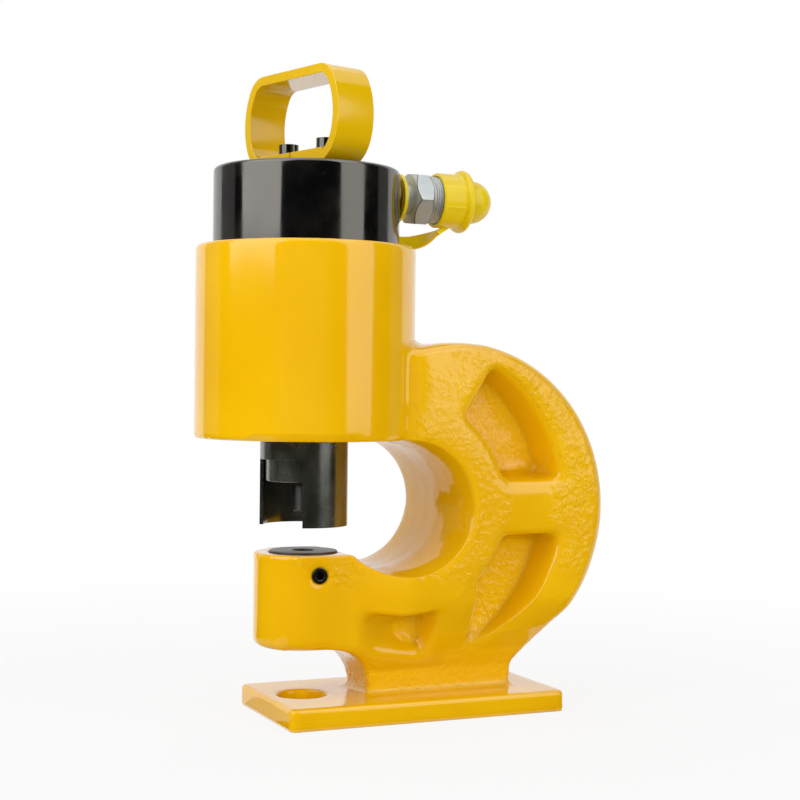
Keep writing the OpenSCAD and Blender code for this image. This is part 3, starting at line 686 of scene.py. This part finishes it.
@dataclass
class Casting:
    """The cast C-frame with its jaw, base plate and cylinder barrel, under one coat of paint."""

    nodes: tuple[str, ...] = ("base_plate", "c_frame", "die_jaw", "cylinder_barrel")
    voxel: float = 1.5 * MM
    most_triangles: int = 190_000
    even_rounds: int = 2
    cast_rounds: int = 5
    soft_rounds: int = 26
    bend_rounds: int = 90
    bend_z: Pair = mm(54, 96)
    throat: Pair = mm(52.5, 134.5)
    throat_r: float = 42.5 * MM
    hub_r: float = 66 * MM
    rim_mid: Pair = mm(86, 134.5)
    rim_r: float = 105 * MM
    pocket_r: float = 106.5 * MM
    half_width: float = 55 * MM
    web_half: float = 28 * MM
    front_web_half: float = 20 * MM
    rib_x: float = 87.5 * MM
    plate_top: float = 14 * MM
    jaw_top: float = 105 * MM
    jaw_back: float = 24 * MM
    barrel_r: float = 70 * MM
    barrel_low: float = 177 * MM
    barrel_top: float = 299 * MM
    turned_low: float = 240 * MM
    bore_r: float = 38.05 * MM
    bore_z: Pair = mm(208, 276)
    hole_r: float = 30 * MM
    hole_z: Pair = mm(30, 60)
    wave: float = 0.16 * MM
    wave_size: float = 21 * MM
    edge_bend: Pair = (-60.0, -260.0)
    hollow_bend: Pair = (40.0, 200.0)
    hub_turn: Pair = (-80.0, -45.0)
    rim_turn: Pair = (-42.0, -12.0)
    # Where the grain shows: along each axis, where it is off and where it is full, in mm.
    rear_floor: Zone = ((X, 54, 58),)
    flare: Zone = ((X, 2, 8), (X, 38, 22), (Z, 72, 92), (Z, 105, 97), (Y, 28, 31))
    heel: Zone = ((X, 58, 44), (Z, 44, 30), (Z, 13, 16), (X, 12, 26))
    bridge: Zone = ((Z, 177, 182), (Z, 232, 222))
    below_barrel: Zone = ((Z, 176, 170),)

    def build(self, bench: Bench) -> None:
        """Fuses the casting's solids, rounds them as a casting is, and dresses it."""
        obj = mesh_object("casting", bench.joined(*self.nodes))
        self.fuse(obj)
        self.round_off(obj.data)
        self.thin(obj)
        self.true_up(obj.data)
        self.mark(obj.data)
        stand = Stand("casting", Slot.ENAMEL, self.nodes, crease=math.radians(70), flatten=False)
        bench.finish(stand, obj)

    def applied(self, obj: Object) -> None:
        """Makes an object's modifiers part of its mesh."""
        shown = obj.evaluated_get(bpy.context.evaluated_depsgraph_get())
        mesh = bpy.data.meshes.new_from_object(shown)
        obj.modifiers.clear()
        obj.data = mesh

    def fuse(self, obj: Object) -> None:
        """Joins the solids into one skin of even faces."""
        skin = obj.modifiers.new("skin", "REMESH")
        skin.mode = "VOXEL"
        skin.voxel_size = self.voxel
        self.applied(obj)

    def round_off(self, mesh: Mesh) -> None:
        """Rounds every edge a little, and the cast ones more."""
        bm = bmesh.new()
        bm.from_mesh(mesh)
        self.relax(bm, bm.verts, self.even_rounds)
        cast = [v for v in bm.verts if self.is_cast(v.co)]
        self.relax(bm, cast, self.cast_rounds)
        self.relax(bm, [v for v in cast if self.is_soft(v.co)], self.soft_rounds)
        bm.normal_update()
        self.relax(bm, [v for v in cast if self.is_bend(v)], self.bend_rounds)
        bm.to_mesh(mesh)
        bm.free()

    def relax(self, bm: BMesh, verts: Iterable[BMVert], rounds: int) -> None:
        """Smooths some vertices, a number of times."""
        chosen = list(verts)
        for _ in range(rounds):
            bmesh.ops.smooth_vert(
                bm, verts=chosen, factor=0.5, use_axis_x=True, use_axis_y=True, use_axis_z=True
            )

    def is_cast(self, co: Vector) -> bool:
        """Whether a place has the soft edges of a raw casting, not those of machined faces."""
        across = math.hypot(co.x, co.y)
        barrel = co.z > self.turned_low and across > self.barrel_r - 3 * MM
        bores = across < self.hole_r and not self.hole_z[0] <= co.z <= self.hole_z[1]
        plate = co.z < self.plate_top - 1.5 * MM
        jaw_face = co.z > self.jaw_top - 4 * MM and co.x < self.jaw_back and co.z < self.barrel_low
        return not (barrel or bores or plate or jaw_face)

    def is_soft(self, co: Vector) -> bool:
        """Whether a place lies among the pockets, whose edges are well rounded."""
        from_throat = math.hypot(co.x - self.throat[0], co.z - self.throat[1])
        pockets = self.hub_r - 6 * MM < from_throat < self.pocket_r + 8 * MM
        return pockets and abs(co.y) > self.front_web_half - 2 * MM and co.z > 30 * MM

    def is_bend(self, vert: BMVert) -> bool:
        """Whether a vertex lies on a side of the casting where it bends in towards the foot."""
        co = vert.co
        from_rim = math.hypot(co.x - self.rim_mid[0], co.z - self.rim_mid[1])
        side = abs(vert.normal.y) > 0.72 and abs(co.y) > self.web_half + 4 * MM
        rear = co.x > self.jaw_back and from_rim < self.rim_r - 8 * MM
        return side and rear and self.bend_z[0] < co.z < self.bend_z[1]

    def thin(self, obj: Object) -> None:
        """Takes faces away where the skin is flat, down to the limit for one piece."""
        triangles = sum(len(p.vertices) - 2 for p in obj.data.polygons)
        if triangles > self.most_triangles:
            fewer = obj.modifiers.new("fewer", "DECIMATE")
            fewer.ratio = self.most_triangles / triangles
            self.applied(obj)

    def true_up(self, mesh: Mesh) -> None:
        """Sets the barrel and its bore on true cylinders, and lets the cast skin roll a little."""
        normals = [v.normal.copy() for v in mesh.vertices]
        places = []
        for v, normal in zip(mesh.vertices, normals):
            place = v.co.copy()
            across = math.hypot(place.x, place.y)
            radius = self.turned_radius(across, place.z)
            if radius:
                place.x *= radius / across
                place.y *= radius / across
            elif self.is_cast(place):
                place += normal * (self.wave * (noise.noise(place / self.wave_size) - 0.5))
            places.extend(place)
        mesh.vertices.foreach_set("co", places)
        mesh.update()

    def turned_radius(self, across: float, z: float) -> float:
        """The radius of the turned skin at a place that lies on it, 0 elsewhere."""
        barrel_z = self.barrel_low + 2 * MM, self.barrel_top - 3 * MM
        if abs(across - self.barrel_r) < 0.6 * MM and barrel_z[0] < z < barrel_z[1]:
            return self.barrel_r
        if abs(across - self.bore_r) < 1 * MM and self.bore_z[0] < z < self.bore_z[1]:
            return self.bore_r
        return 0.0

    def mark(self, mesh: Mesh) -> None:
        """Stores where the paint lies over raw grain, painted light on pocket floors, painted shade
        in hollows, painted highlights on edges, and where it is worn.
        """
        count = len(mesh.vertices)
        co = np.empty(count * 3, np.float32)
        normal = np.empty(count * 3, np.float32)
        mesh.vertices.foreach_get("co", co)
        mesh.vertices.foreach_get("normal", normal)
        co, normal = co.reshape(-1, 3), normal.reshape(-1, 3)
        edges = np.empty(len(mesh.edges) * 2, np.int32)
        mesh.edges.foreach_get("vertices", edges)
        bend = self.curvature(co, normal, edges.reshape(-1, 2))
        edge = step(bend, *self.edge_bend)
        plate = step(co[:, Z], self.plate_top + 2 * MM, self.plate_top - 1 * MM)
        marks = {
            "cast": self.grain_at(co, normal),
            "throat": self.throat_at(co),
            # the pocket floors, which the enamel lightens as painted light
            "pocket": self.floor_at(co, normal),
            # the hollows, which the enamel darkens as painted shade
            "hollow": step(bend, *self.hollow_bend),
            # edges, which the enamel paints paler as a painted highlight; on the plate they also
            # mark real wear
            "edge": edge,
            "worn": edge * plate,
        }
        for name, values in marks.items():
            layer = mesh.attributes.new(name, "FLOAT", "POINT")
            layer.data.foreach_set("value", values.astype(np.float32))

    def curvature(self, co: Array, normal: Array, edges: Array) -> Array:
        """How much the skin bends at each vertex, in 1/m: over 0 in hollows, under 0 on edges."""
        a, b = edges[:, 0], edges[:, 1]
        count = np.bincount(a, minlength=len(co)) + np.bincount(b, minlength=len(co))

        def mean(to_a: Array, to_b: Array) -> Array:
            """The mean at each vertex of what its edges bring to their two ends."""
            total = np.bincount(a, to_a, len(co)) + np.bincount(b, to_b, len(co))
            return total / np.maximum(count, 1)

        middle = np.stack([mean(co[b, i], co[a, i]) for i in range(3)], 1)
        square = np.linalg.norm(co[a] - co[b], axis=1) ** 2
        square = mean(square, square)
        bend = 4 * ((middle - co) * normal).sum(1) / np.maximum(square, 1e-9)
        for _ in range(5):
            bend = 0.4 * bend + 0.6 * mean(bend[b], bend[a])
        return bend

    def from_throat(self, co: Array) -> Array:
        """How far each vertex is from the throat's axis."""
        return np.hypot(co[:, X] - self.throat[0], co[:, Z] - self.throat[1])

    def grain_at(self, co: Array, normal: Array) -> Array:
        """How strongly the sand-cast grain shows at each vertex, from 0 to 1."""
        places = co.copy()
        places[:, Y] = np.abs(co[:, Y])
        x, y, z = places.T
        away = self.from_throat(co)
        turn = np.degrees(np.arctan2(z - self.throat[1], x - self.throat[0]))
        rim_turn = np.degrees(np.arctan2(z - self.rim_mid[1], x - self.rim_mid[0]))
        face = step(y, self.half_width - 4 * MM, self.half_width - 2 * MM)
        face *= step(np.abs(normal[:, Y]), 0.86, 0.96)
        hub = face * step(away, self.hub_r + 3 * MM, self.hub_r - 1 * MM)
        hub *= 0.12 + 0.88 * step(turn, *self.hub_turn)
        rim = face * step(away, self.pocket_r - 10 * MM, self.pocket_r - 4 * MM)
        rim *= 0.18 + 0.82 * step(rim_turn, *self.rim_turn)
        clear = step(np.hypot(x, y), self.barrel_r + 1 * MM, self.barrel_r + 6 * MM)
        grain = (hub + rim) * np.maximum(clear, within(places, self.below_barrel))
        grain += self.floor_at(co, normal) * within(places, self.rear_floor)
        grain += within(places, self.flare) + 0.8 * within(places, self.heel)
        grain += within(places, self.bridge) * face * clear * 0.6
        return np.clip(grain, 0.0, 1.0)

    def floor_at(self, co: Array, normal: Array) -> Array:
        """1 on the floors of the pockets, 0 elsewhere; the enamel paints them lighter as painted
        light.
        """
        depth = np.where(co[:, X] > self.rib_x, self.web_half, self.front_web_half)
        floor = step(np.abs(co[:, Y]) - depth, 3 * MM, 1.5 * MM)
        floor *= step(self.from_throat(co), self.hub_r, self.hub_r + 3 * MM)
        return floor * step(np.abs(normal[:, Y]), 0.75, 0.92)

    def throat_at(self, co: Array) -> Array:
        """1 on the wall of the throat, 0 elsewhere."""
        wall = step(self.from_throat(co), self.throat_r + 2 * MM, self.throat_r + 0.5 * MM)
        return wall * step(co[:, X], self.throat[0] - 20 * MM, self.throat[0])


@dataclass
class Cylinder:
    """The black cylinder head on the barrel."""

    head_r: float = 59.25 * MM
    foot_z: float = 299 * MM
    top_z: float = 348 * MM
    spigot_r: float = 49.9 * MM
    spigot_z: float = 277 * MM
    top_round: float = 2.6 * MM
    edge: float = 0.5 * MM

    def build(self, bench: Bench) -> None:
        """Turns the head, with its rounded top edge."""
        bm = turned([
            (0.0, self.spigot_z), (self.spigot_r, self.spigot_z), (self.spigot_r, self.foot_z),
            (self.head_r, self.foot_z), (self.head_r, self.top_z), (0.0, self.top_z),
        ], 144)
        rim = self.top_z - 0.1 * MM
        soften(bm, self.top_round, 6, where=lambda e: min(v.co.z for v in e.verts) > rim)
        soften(bm, self.edge, 2)
        bench.add(Stand("head", Slot.OXIDE, ("cylinder_head",)), bm)


@dataclass
class Tooling:
    """The die and its screw, the stripper sleeve, the punch and its nut."""

    satin: tuple[str, ...] = ("stripper", "punch_nut")

    def build(self, bench: Bench) -> None:
        """Rounds the edges of each tool as its finish leaves them."""
        for node, width, slot, body in (
            ("die", 0.6 * MM, Slot.OXIDE, Body.FRAME),
            ("die_set_screw", 0.35 * MM, Slot.OXIDE, Body.FRAME),
            ("stripper", 0.45 * MM, Slot.OXIDE, Body.FRAME),
            ("punch_nut", 0.9 * MM, Slot.OXIDE, Body.RAM),
            ("punch", 0.3 * MM, Slot.GROUND, Body.RAM),
        ):
            piece = bench.rounded(Stand(f"{node}_dressed", slot, (node,), body), width)
            if node in self.satin:
                piece.data.materials[0] = bench.finishes.satin
            elif node == "die":
                piece.data.materials[0] = bench.finishes.die


@dataclass
class Springs:
    """The ram's return spring and the check valve's spring."""

    ram_travel: float = 28 * MM
    ram_seat: Point = mm(0.0, 0.0, 207.3)
    valve_travel: float = 4 * MM
    valve_seat: Point = mm(83.8, 0.0, 334)

    def build(self, bench: Bench) -> None:
        """Dresses both coils and gives each its own mesh."""
        for node, joint, away, seat, travel in (
            ("return_spring", "ram_slide", (0, 0, 1), self.ram_seat, self.ram_travel),
            ("coupler_spring", "check_valve_slide", (1, 0, 0), self.valve_seat, self.valve_travel),
        ):
            axis = Vector(away)
            bm = bench.joined(node)
            length = max(v.co.dot(axis) for v in bm.verts) - Vector(seat).dot(axis)
            piece = bench.add(Stand(f"{node}_coil", Slot.SPRING, (node,), flatten=False), bm)
            1.0 - travel / length
            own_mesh(piece)


@dataclass
class CarryHandle:
    """The bent strap handle and its two socket screws."""

    edge: float = 2.3 * MM
    screw_edge: float = 0.8 * MM

    def build(self, bench: Bench) -> None:
        """Rounds the strap's edges and the screws' heads."""
        strap = bench.rounded(Stand("handle", Slot.ENAMEL, ("carry_handle",)), self.edge, 5)
        strap.data.materials[0] = bench.finishes.bent_strap
        bench.rounded(Stand("handle_bolts", Slot.OXIDE, ("handle_screws",)), self.screw_edge)


@dataclass
class Coupler:
    """The hose coupler: hexagon and threaded collar."""

    hex_x: float = 70.55 * MM
    hex_end: float = 83.05 * MM
    across: float = 32 * MM
    turn: float = 37.5
    collar_r: float = 15.3 * MM
    collar_end: float = 104.05 * MM
    bore_r: float = 8.05 * MM
    bore_end: float = 78 * MM
    seat_r: float = 6 * MM
    pitch: float = 1.8 * MM
    crest: Pair = (0.38, 0.58)
    thread_depth: float = 0.95 * MM
    runout: float = 1.9 * MM
    chamfer: float = 0.985
    lean: float = math.tan(math.radians(40))
    line: float = 0.3 * MM

    def build(self, bench: Bench) -> None:
        """Turns the coupler and presses its hexagon, with the curved chamfers of a turned bar."""
        corner = self.across / 2 / math.cos(math.radians(30))
        chamfer = self.across / 2 * self.chamfer
        groove = self.collar_r - self.thread_depth
        bm = turned([
            (self.bore_r, self.hex_x), (chamfer, self.hex_x), (corner, self.hex_x),
            (corner, self.hex_end), (chamfer, self.hex_end), (groove, self.hex_end),
            *self.threads(groove), (self.seat_r, self.collar_end),
            (self.seat_r, self.bore_end), (self.bore_r, self.bore_end),
        ], 108)
        hexed(bm, corner, self.turn)
        middle = (self.hex_x + self.hex_end) / 2
        for v in bm.verts:
            reach = math.hypot(v.co.x, v.co.y)
            if reach > chamfer + SAME and self.on_hex(v):
                v.co.z += (reach - chamfer) * self.lean * (1 if v.co.z < middle else -1)
        # painted shade: the thin roundings along the hexagon take the dark second material as lines
        lines = soften(bm, self.line, 2, math.radians(20), lambda e: self.on_hex(*e.verts))
        for face in lines:
            face.material_index = 1
        stand = Stand("coupler_dressed", Slot.ZINC, ("coupler_body",), crease=math.radians(28))
        piece = bench.add(stand, to_port(bm))
        piece.data.materials.append(bench.finishes.hex_shade_lines)

    def on_hex(self, *verts: BMVert) -> bool:
        """Whether vertices all lie along the hexagon."""
        return all(self.hex_x - SAME < v.co.z < self.hex_end + SAME for v in verts)

    def threads(self, groove: float) -> Outline:
        """The collar's thread, as crests and roots along its length."""
        points: Outline = []
        place = self.hex_end + self.runout
        while place + self.pitch < self.collar_end - 0.4 * MM:
            points.append((groove, place))
            points += [(self.collar_r, place + share * self.pitch) for share in self.crest]
            place += self.pitch
        return points + [(groove, place), (groove, self.collar_end)]


@dataclass
class DustCap:
    """The moulded dust cap, with its lip, its ribs, its rolled flange and its dome."""

    start: float = 89.55 * MM
    flange: float = 106.05 * MM
    dome: float = 111.05 * MM
    end: float = 130.05 * MM
    skirt_r: float = 18 * MM
    flange_r: float = 20.75 * MM
    dome_r: float = 14.2 * MM
    bore_r: float = 15.6 * MM
    bore_end: float = 104.35 * MM
    lip: float = 1.1 * MM
    skirt_round: float = 1.43 * MM
    flange_round: float = 0.9 * MM
    dome_round: float = 1.6 * MM
    rib_count: int = 6
    rib_turn: float = 20.0
    rib_rise: float = 0.45 * MM
    rib_half: float = 3.2

    def build(self, bench: Bench) -> None:
        """Turns the cap and raises its ribs."""
        lip, foot, roll = self.lip, self.skirt_round, (self.dome - self.flange) / 2
        neck, cove = self.flange_round, self.dome_round
        outline = [(0.0, self.bore_end), (self.bore_r, self.bore_end)]
        outline += arc((self.bore_r + lip, self.start + lip), lip, 180, 270, 5)
        outline += arc((self.skirt_r - foot, self.start + foot), foot, -90, 0, 6)
        outline += [(self.skirt_r, self.start + 3 * MM), (self.skirt_r, self.flange - 2.4 * MM)]
        outline += arc((self.skirt_r + neck, self.flange - neck), neck, 180, 90, 4)[1:]
        outline += arc((self.flange_r - roll, self.flange + roll), roll, -70, 90, 10)
        outline += arc((self.dome_r + cove, self.dome + cove), cove, -90, -180, 5)
        outline += arc((0.0, self.end - self.dome_r), self.dome_r, 0, 90, 16)
        outline[-1] = (0.0, self.end)
        bm = turned(outline, 180)
        self.raise_ribs(bm)
        stand = Stand("cap", Slot.CAP, ("dust_cap",), Body.DUST_CAP, math.radians(60), False)
        bench.add(stand, to_port(bm))

    def raise_ribs(self, bm: BMesh) -> None:
        """Lifts narrow strips of the skirt into ribs along the axis."""
        pitch = 360 / self.rib_count
        for v in bm.verts:
            reach = math.hypot(v.co.x, v.co.y)
            along = self.start + 2.6 * MM < v.co.z < self.flange
            on_skirt = along and abs(reach - self.skirt_r) < 0.05 * MM
            angle = math.degrees(math.atan2(v.co.y, v.co.x)) + 90 - self.rib_turn
            off = abs((angle + pitch / 2) % pitch - pitch / 2)
            if on_skirt and off < self.rib_half:
                lift = self.rib_rise * math.cos(off / self.rib_half * math.pi / 2)
                v.co.x *= 1 + lift / reach
                v.co.y *= 1 + lift / reach


@dataclass
class Tether:
    """The ring on the coupler's neck and the strap that holds the cap to it."""

    ring_x: float = 61.85 * MM
    ring_t: float = 2.5 * MM
    ring_r: float = 15.75 * MM
    neck_r: float = 10.3 * MM
    cap_end: Point = mm(95.49, 1.1, 314.6)
    lead: Point = mm(94.0, 22.08, 306.12)
    turn: Point = mm(64.35, 46, 300)
    ring_end: Point = mm(63.1, 12.295, 323.68)
    width: float = 9.5 * MM
    thick: float = 2.2 * MM
    root: Point = mm(96.0, -2.5, 315.4)
    root_grows: float = 0.22
    root_spread: float = 1.2 * MM
    root_thicker: float = 0.6 * MM
    leans: tuple[tuple[float, Point], ...] = (
        (0.0, (0.8, -0.1, 0.6)), (0.35, (0.3, -0.05, 0.95)),
        (0.6, (0.1, 0.05, 1.0)), (1.0, (0.0, 0.7, 0.7)),
    )
    sections: int = 48
    ring_edge: float = 0.4 * MM
    edge: float = 0.7 * MM

    def build(self, bench: Bench) -> None:
        """Makes the ring and the strap."""
        ring = turned([
            (self.neck_r, self.ring_x), (self.ring_r - 1.6 * MM, self.ring_x + 0.5 * MM),
            (self.ring_r - 1.2 * MM, self.ring_x), (self.ring_r, self.ring_x),
            (self.ring_r, self.ring_x + self.ring_t), (self.neck_r, self.ring_x + self.ring_t),
        ])
        soften(ring, self.ring_edge, 3, math.radians(25))
        bench.add(Stand("tether_ring", Slot.CAP, ("cap_ring",)), to_port(ring))
        stand = Stand("tether_strap", Slot.CAP, ("cap_strap",))
        strap = bench.finish(stand, mesh_object(stand.name, self.strap()), ride=False)
        # painted light: the brighter copy of the cap plastic
        strap.data.materials[0] = bench.finishes.tether
        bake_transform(strap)

    def strap(self) -> BMesh:
        """Draws the strap's flat section out along its route, turning as it goes."""
        bm = bmesh.new()
        start = Vector(self.root) - Vector(self.cap_end)
        corners = [p + start for p in self.section(0.0)]
        face = bm.faces.new([bm.verts.new(p) for p in corners])
        for i in range(self.sections + 1):
            grown = bmesh.ops.extrude_face_region(bm, geom=[face])
            if i:
                bmesh.ops.delete(bm, geom=[face], context="FACES_ONLY")
            face = next(g for g in grown["geom"] if isinstance(g, BMFace))
            reached = self.section(i / self.sections)
            for v in face.verts:
                v.co = reached[min(range(4), key=lambda k: (corners[k] - v.co).length)]
            corners = reached
        bmesh.ops.recalc_face_normals(bm, faces=bm.faces)
        soften(bm, self.edge, 3, math.radians(45))
        return bm

    def section(self, t: float) -> list[Vector]:
        """The four corners of the strap at a share of its route."""
        p = [Vector(q) for q in (self.cap_end, self.lead, self.turn, self.ring_end)]
        s = 1 - t
        place = p[0] * s**3 + p[1] * (3 * s * s * t) + p[2] * (3 * s * t * t) + p[3] * t**3
        along = (p[1] - p[0]) * s * s + (p[2] - p[1]) * (2 * s * t) + (p[3] - p[2]) * t * t
        along.normalize()
        lean = self.lean_at(t)
        wide = (lean - along * lean.dot(along)).normalized()
        deep = along.cross(wide)
        root = max(0.0, 1 - t / self.root_grows) ** 2
        half = self.width / 2 + self.root_spread * root
        thick = self.thick / 2 + self.root_thicker * root
        corners = ((-1, -1), (1, -1), (1, 1), (-1, 1))
        return [place + wide * (a * half) + deep * (b * thick) for a, b in corners]

    def lean_at(self, t: float) -> Vector:
        """The way the strap's wide side points at a share of its route."""
        for (low, before), (high, after) in zip(self.leans, self.leans[1:]):
            if t <= high:
                share = (t - low) / (high - low)
                return Vector(before).lerp(Vector(after), share * share * (3 - 2 * share))
        return Vector(self.leans[-1][1])


class Cloth(Enum):
    """The studio's cloths, by how brightly they show in the gloss."""

    DARK = 0.0
    GREY = 0.2
    PALE = 0.45


@dataclass(frozen=True)
class SoftBox:
    """A rectangular lamp that faces the punch; without gloss it only fills the shadows."""

    name: str
    bearing: float
    away: float
    height: float
    size: Pair
    radiance: float
    gloss: bool = True


@dataclass
class Studio:
    """The camera, a pale floor, soft boxes all round, and cloths on the camera's side."""

    eye: Point = mm(-360.04, -957.15, 210.03)
    yaw: float = 0.4193
    pitch: float = 0.0076
    roll: float = 0.011
    lens: float = 72.0
    sensor: float = 36.0
    clip: Pair = (0.02, 50.0)
    floor_size: float = 9.0
    aim: Point = (0.05, 0.0, 0.2)
    fill: float = 0.27
    floor_colour: Colour = (0.75, 0.75, 0.75)
    floor_white: float = 0.84
    shadow_reach: float = 0.9
    boxes: tuple[SoftBox, ...] = (
        SoftBox("left box", -57.0, 1.35, 1.1, (1.7, 1.6), 2.2),
        SoftBox("right box", 57.5, 1.35, 0.94, (0.9, 1.86), 1.62),
        SoftBox("front box", -2.0, 1.5, 0.34, (1.5, 0.68), 2.3, gloss=False),
        SoftBox("back left box", -148.0, 1.6, 0.7, (1.2, 1.0), 1.5, gloss=False),
        SoftBox("back right box", 138.0, 1.6, 0.8, (1.2, 1.0), 1.1, gloss=False),
    )
    top_place: Point = (0.1, 0.15, 1.75)
    top_size: Pair = (1.3, 1.3)
    top_radiance: float = 0.8
    cloth_colour: Colour = (0.004, 0.004, 0.004)
    cloth_lift: float = 0.002
    cloth_top: float = 2.6
    cloth_rings: tuple[float, float, float] = (0.02, 0.22, 2.4)

    def build(self) -> None:
        """Sets the stage."""
        self.camera()
        self.floor()
        self.world()
        for box in self.boxes:
            place = self.bearing(box.bearing) * box.away
            place.z = box.height
            self.lamp(box.name, place, box.size, box.radiance, box.gloss)
        self.lamp("top box", Vector(self.top_place), self.top_size, self.top_radiance)
        self.screens()

    def camera(self) -> None:
        """The camera, as it stood for the photograph."""
        flat = Vector((math.cos(self.yaw), -math.sin(self.yaw), 0.0))
        ahead = Vector((math.sin(self.yaw), math.cos(self.yaw), 0.0)) * math.cos(self.pitch)
        ahead.z = -math.sin(self.pitch)
        rise = flat.cross(ahead)
        right = flat * math.cos(self.roll) + rise * math.sin(self.roll)
        up = rise * math.cos(self.roll) - flat * math.sin(self.roll)
        data = bpy.data.cameras.new("camera")
        data.lens, data.sensor_width = self.lens, self.sensor
        data.clip_start, data.clip_end = self.clip
        obj = linked("camera", data)
        turn = Matrix((right, up, -ahead)).transposed().to_4x4()
        obj.matrix_world = Matrix.Translation(self.eye) @ turn
        bpy.context.scene.camera = obj

    def stage_mesh(self, name: str, bm: BMesh, material: Material) -> Object:
        """Links a mesh that isn't part of the punch."""
        obj = mesh_object(name, bm)
        obj.data.materials.append(material)
        return obj

    def shows_white(self, r: Nodes) -> Sock:
        """1 for rays that show the background: those of the camera, of gloss and of glass."""
        path = r.node("ShaderNodeLightPath", out="Is Camera Ray")
        either = r.math("MAXIMUM", path, path.out("Is Glossy Ray"))
        return r.math("MAXIMUM", either, path.out("Is Transmission Ray"))

    def floor(self) -> None:
        """A pale floor that keeps the punch's shadow."""
        r = Recipe("pale_floor")
        r.surface(base_color=self.floor_colour, roughness=0.9)
        glow = r.node("ShaderNodeEmission", None, {"Color": (1.0, 1.0, 1.0), "Strength": 1.0})
        away = r.node("ShaderNodeVectorMath", {"operation": "LENGTH"}, {0: r.place()}, "Value")
        far = away.ramp(0.2 * self.shadow_reach, self.shadow_reach)
        white = self.floor_white + far * (1.0 - self.floor_white)
        mix = r.node("ShaderNodeMixShader", None, {0: self.shows_white(r) * white, 2: glow})
        r.tree.links.new(r.shader.outputs[0], mix.socket.node.inputs[1])
        r.tree.links.new(mix.socket, r.tree.nodes["Material Output"].inputs["Surface"])
        bm = bmesh.new()
        bmesh.ops.create_grid(bm, x_segments=1, y_segments=1, size=self.floor_size / 2)
        self.stage_mesh("floor", bm, r.material)

    def world(self) -> None:
        """A white background, and a soft fill from all round."""
        world = bpy.data.worlds.new("studio")
        world.use_nodes = True
        bpy.context.scene.world = world
        r = Nodes(world.node_tree)
        strength = self.fill + self.shows_white(r) * (1.0 - self.fill)
        back = r.tree.nodes["Background"]
        r.feed(back.inputs["Color"], (1.0, 1.0, 1.0))
        r.feed(back.inputs["Strength"], strength)

    def bearing(self, angle: float) -> Vector:
        """A level direction from the punch axis, in degrees to the right of the camera's."""
        to_eye = Vector((self.eye[0], self.eye[1], 0.0)).normalized()
        right = Vector((-to_eye.y, to_eye.x, 0.0))
        return to_eye * math.cos(math.radians(angle)) + right * math.sin(math.radians(angle))

    def lamp(
        self, name: str, place: Vector, size: Pair, radiance: float, gloss: bool = True
    ) -> None:
        """Hangs a soft box."""
        data = bpy.data.lights.new(name, "AREA")
        data.shape = "RECTANGLE"
        data.size, data.size_y = size
        data.energy = radiance * math.pi * size[0] * size[1]
        obj = linked(name, data)
        obj.location = place
        obj.rotation_euler = (Vector(self.aim) - place).to_track_quat("-Z", "Y").to_euler()
        obj.visible_camera = False
        obj.visible_glossy = gloss

    def screens(self) -> None:
        """Cloth upright behind the camera and on the floor, which only the gloss shows."""
        low, (inner, near, reach) = self.cloth_lift, self.cloth_rings
        upright = (reach, low), (reach, self.cloth_top)
        materials = {}
        for kind in Cloth:
            r = Recipe(f"{kind.name.lower()}_cloth")
            r.surface(base_color=self.cloth_colour, roughness=0.9, specular_ior_level=0.0)
            white = (1.0, 1.0, 1.0)
            materials[kind] = r.surface(emission_color=white, emission_strength=kind.value)
        for name, kind, section, start, end in (
            ("upright_cloth", Cloth.DARK, upright, -97.0, 97.0),
            ("left_cloth", Cloth.GREY, upright, -127.0, -97.0),
            ("right_cloth", Cloth.GREY, upright, 97.0, 118.0),
            ("floor_cloth", Cloth.DARK, ((inner, low), (reach, low)), -32.0, 96.0),
            ("left_floor_cloth", Cloth.DARK, ((near, low), (reach, low)), -127.0, -32.0),
            ("near_floor_cloth", Cloth.PALE, ((inner, low), (near, low)), -127.0, -32.0),
        ):
            points = [self.bearing(start) * away + Vector((0, 0, z)) for away, z in section]
            bm = swept(points, math.radians(end - start), 40)
            obj = self.stage_mesh(name, bm, materials[kind])
            obj.visible_camera = False
            obj.visible_diffuse = False
            obj.visible_shadow = False


def corners(box: tuple[Vector, Vector]) -> list[list[float]]:
    """A box's two corners as plain numbers."""
    return [list(corner) for corner in box]


def main() -> None:
    """Builds the punch's looks and its studio."""
    logging.basicConfig(level=logging.INFO, format="%(name)s %(message)s")
    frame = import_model()
    bpy.context.scene.view_settings.view_transform = "Standard"
    bench = Bench(frame, Finishes())
    for assembly in (
        Casting(), Cylinder(), Tooling(), Springs(), CarryHandle(), Coupler(), DustCap(), Tether(),
    ):
        assembly.build(bench)
    bench.dress_rest()
    Studio().build()


if __name__ == "__main__":
    main()
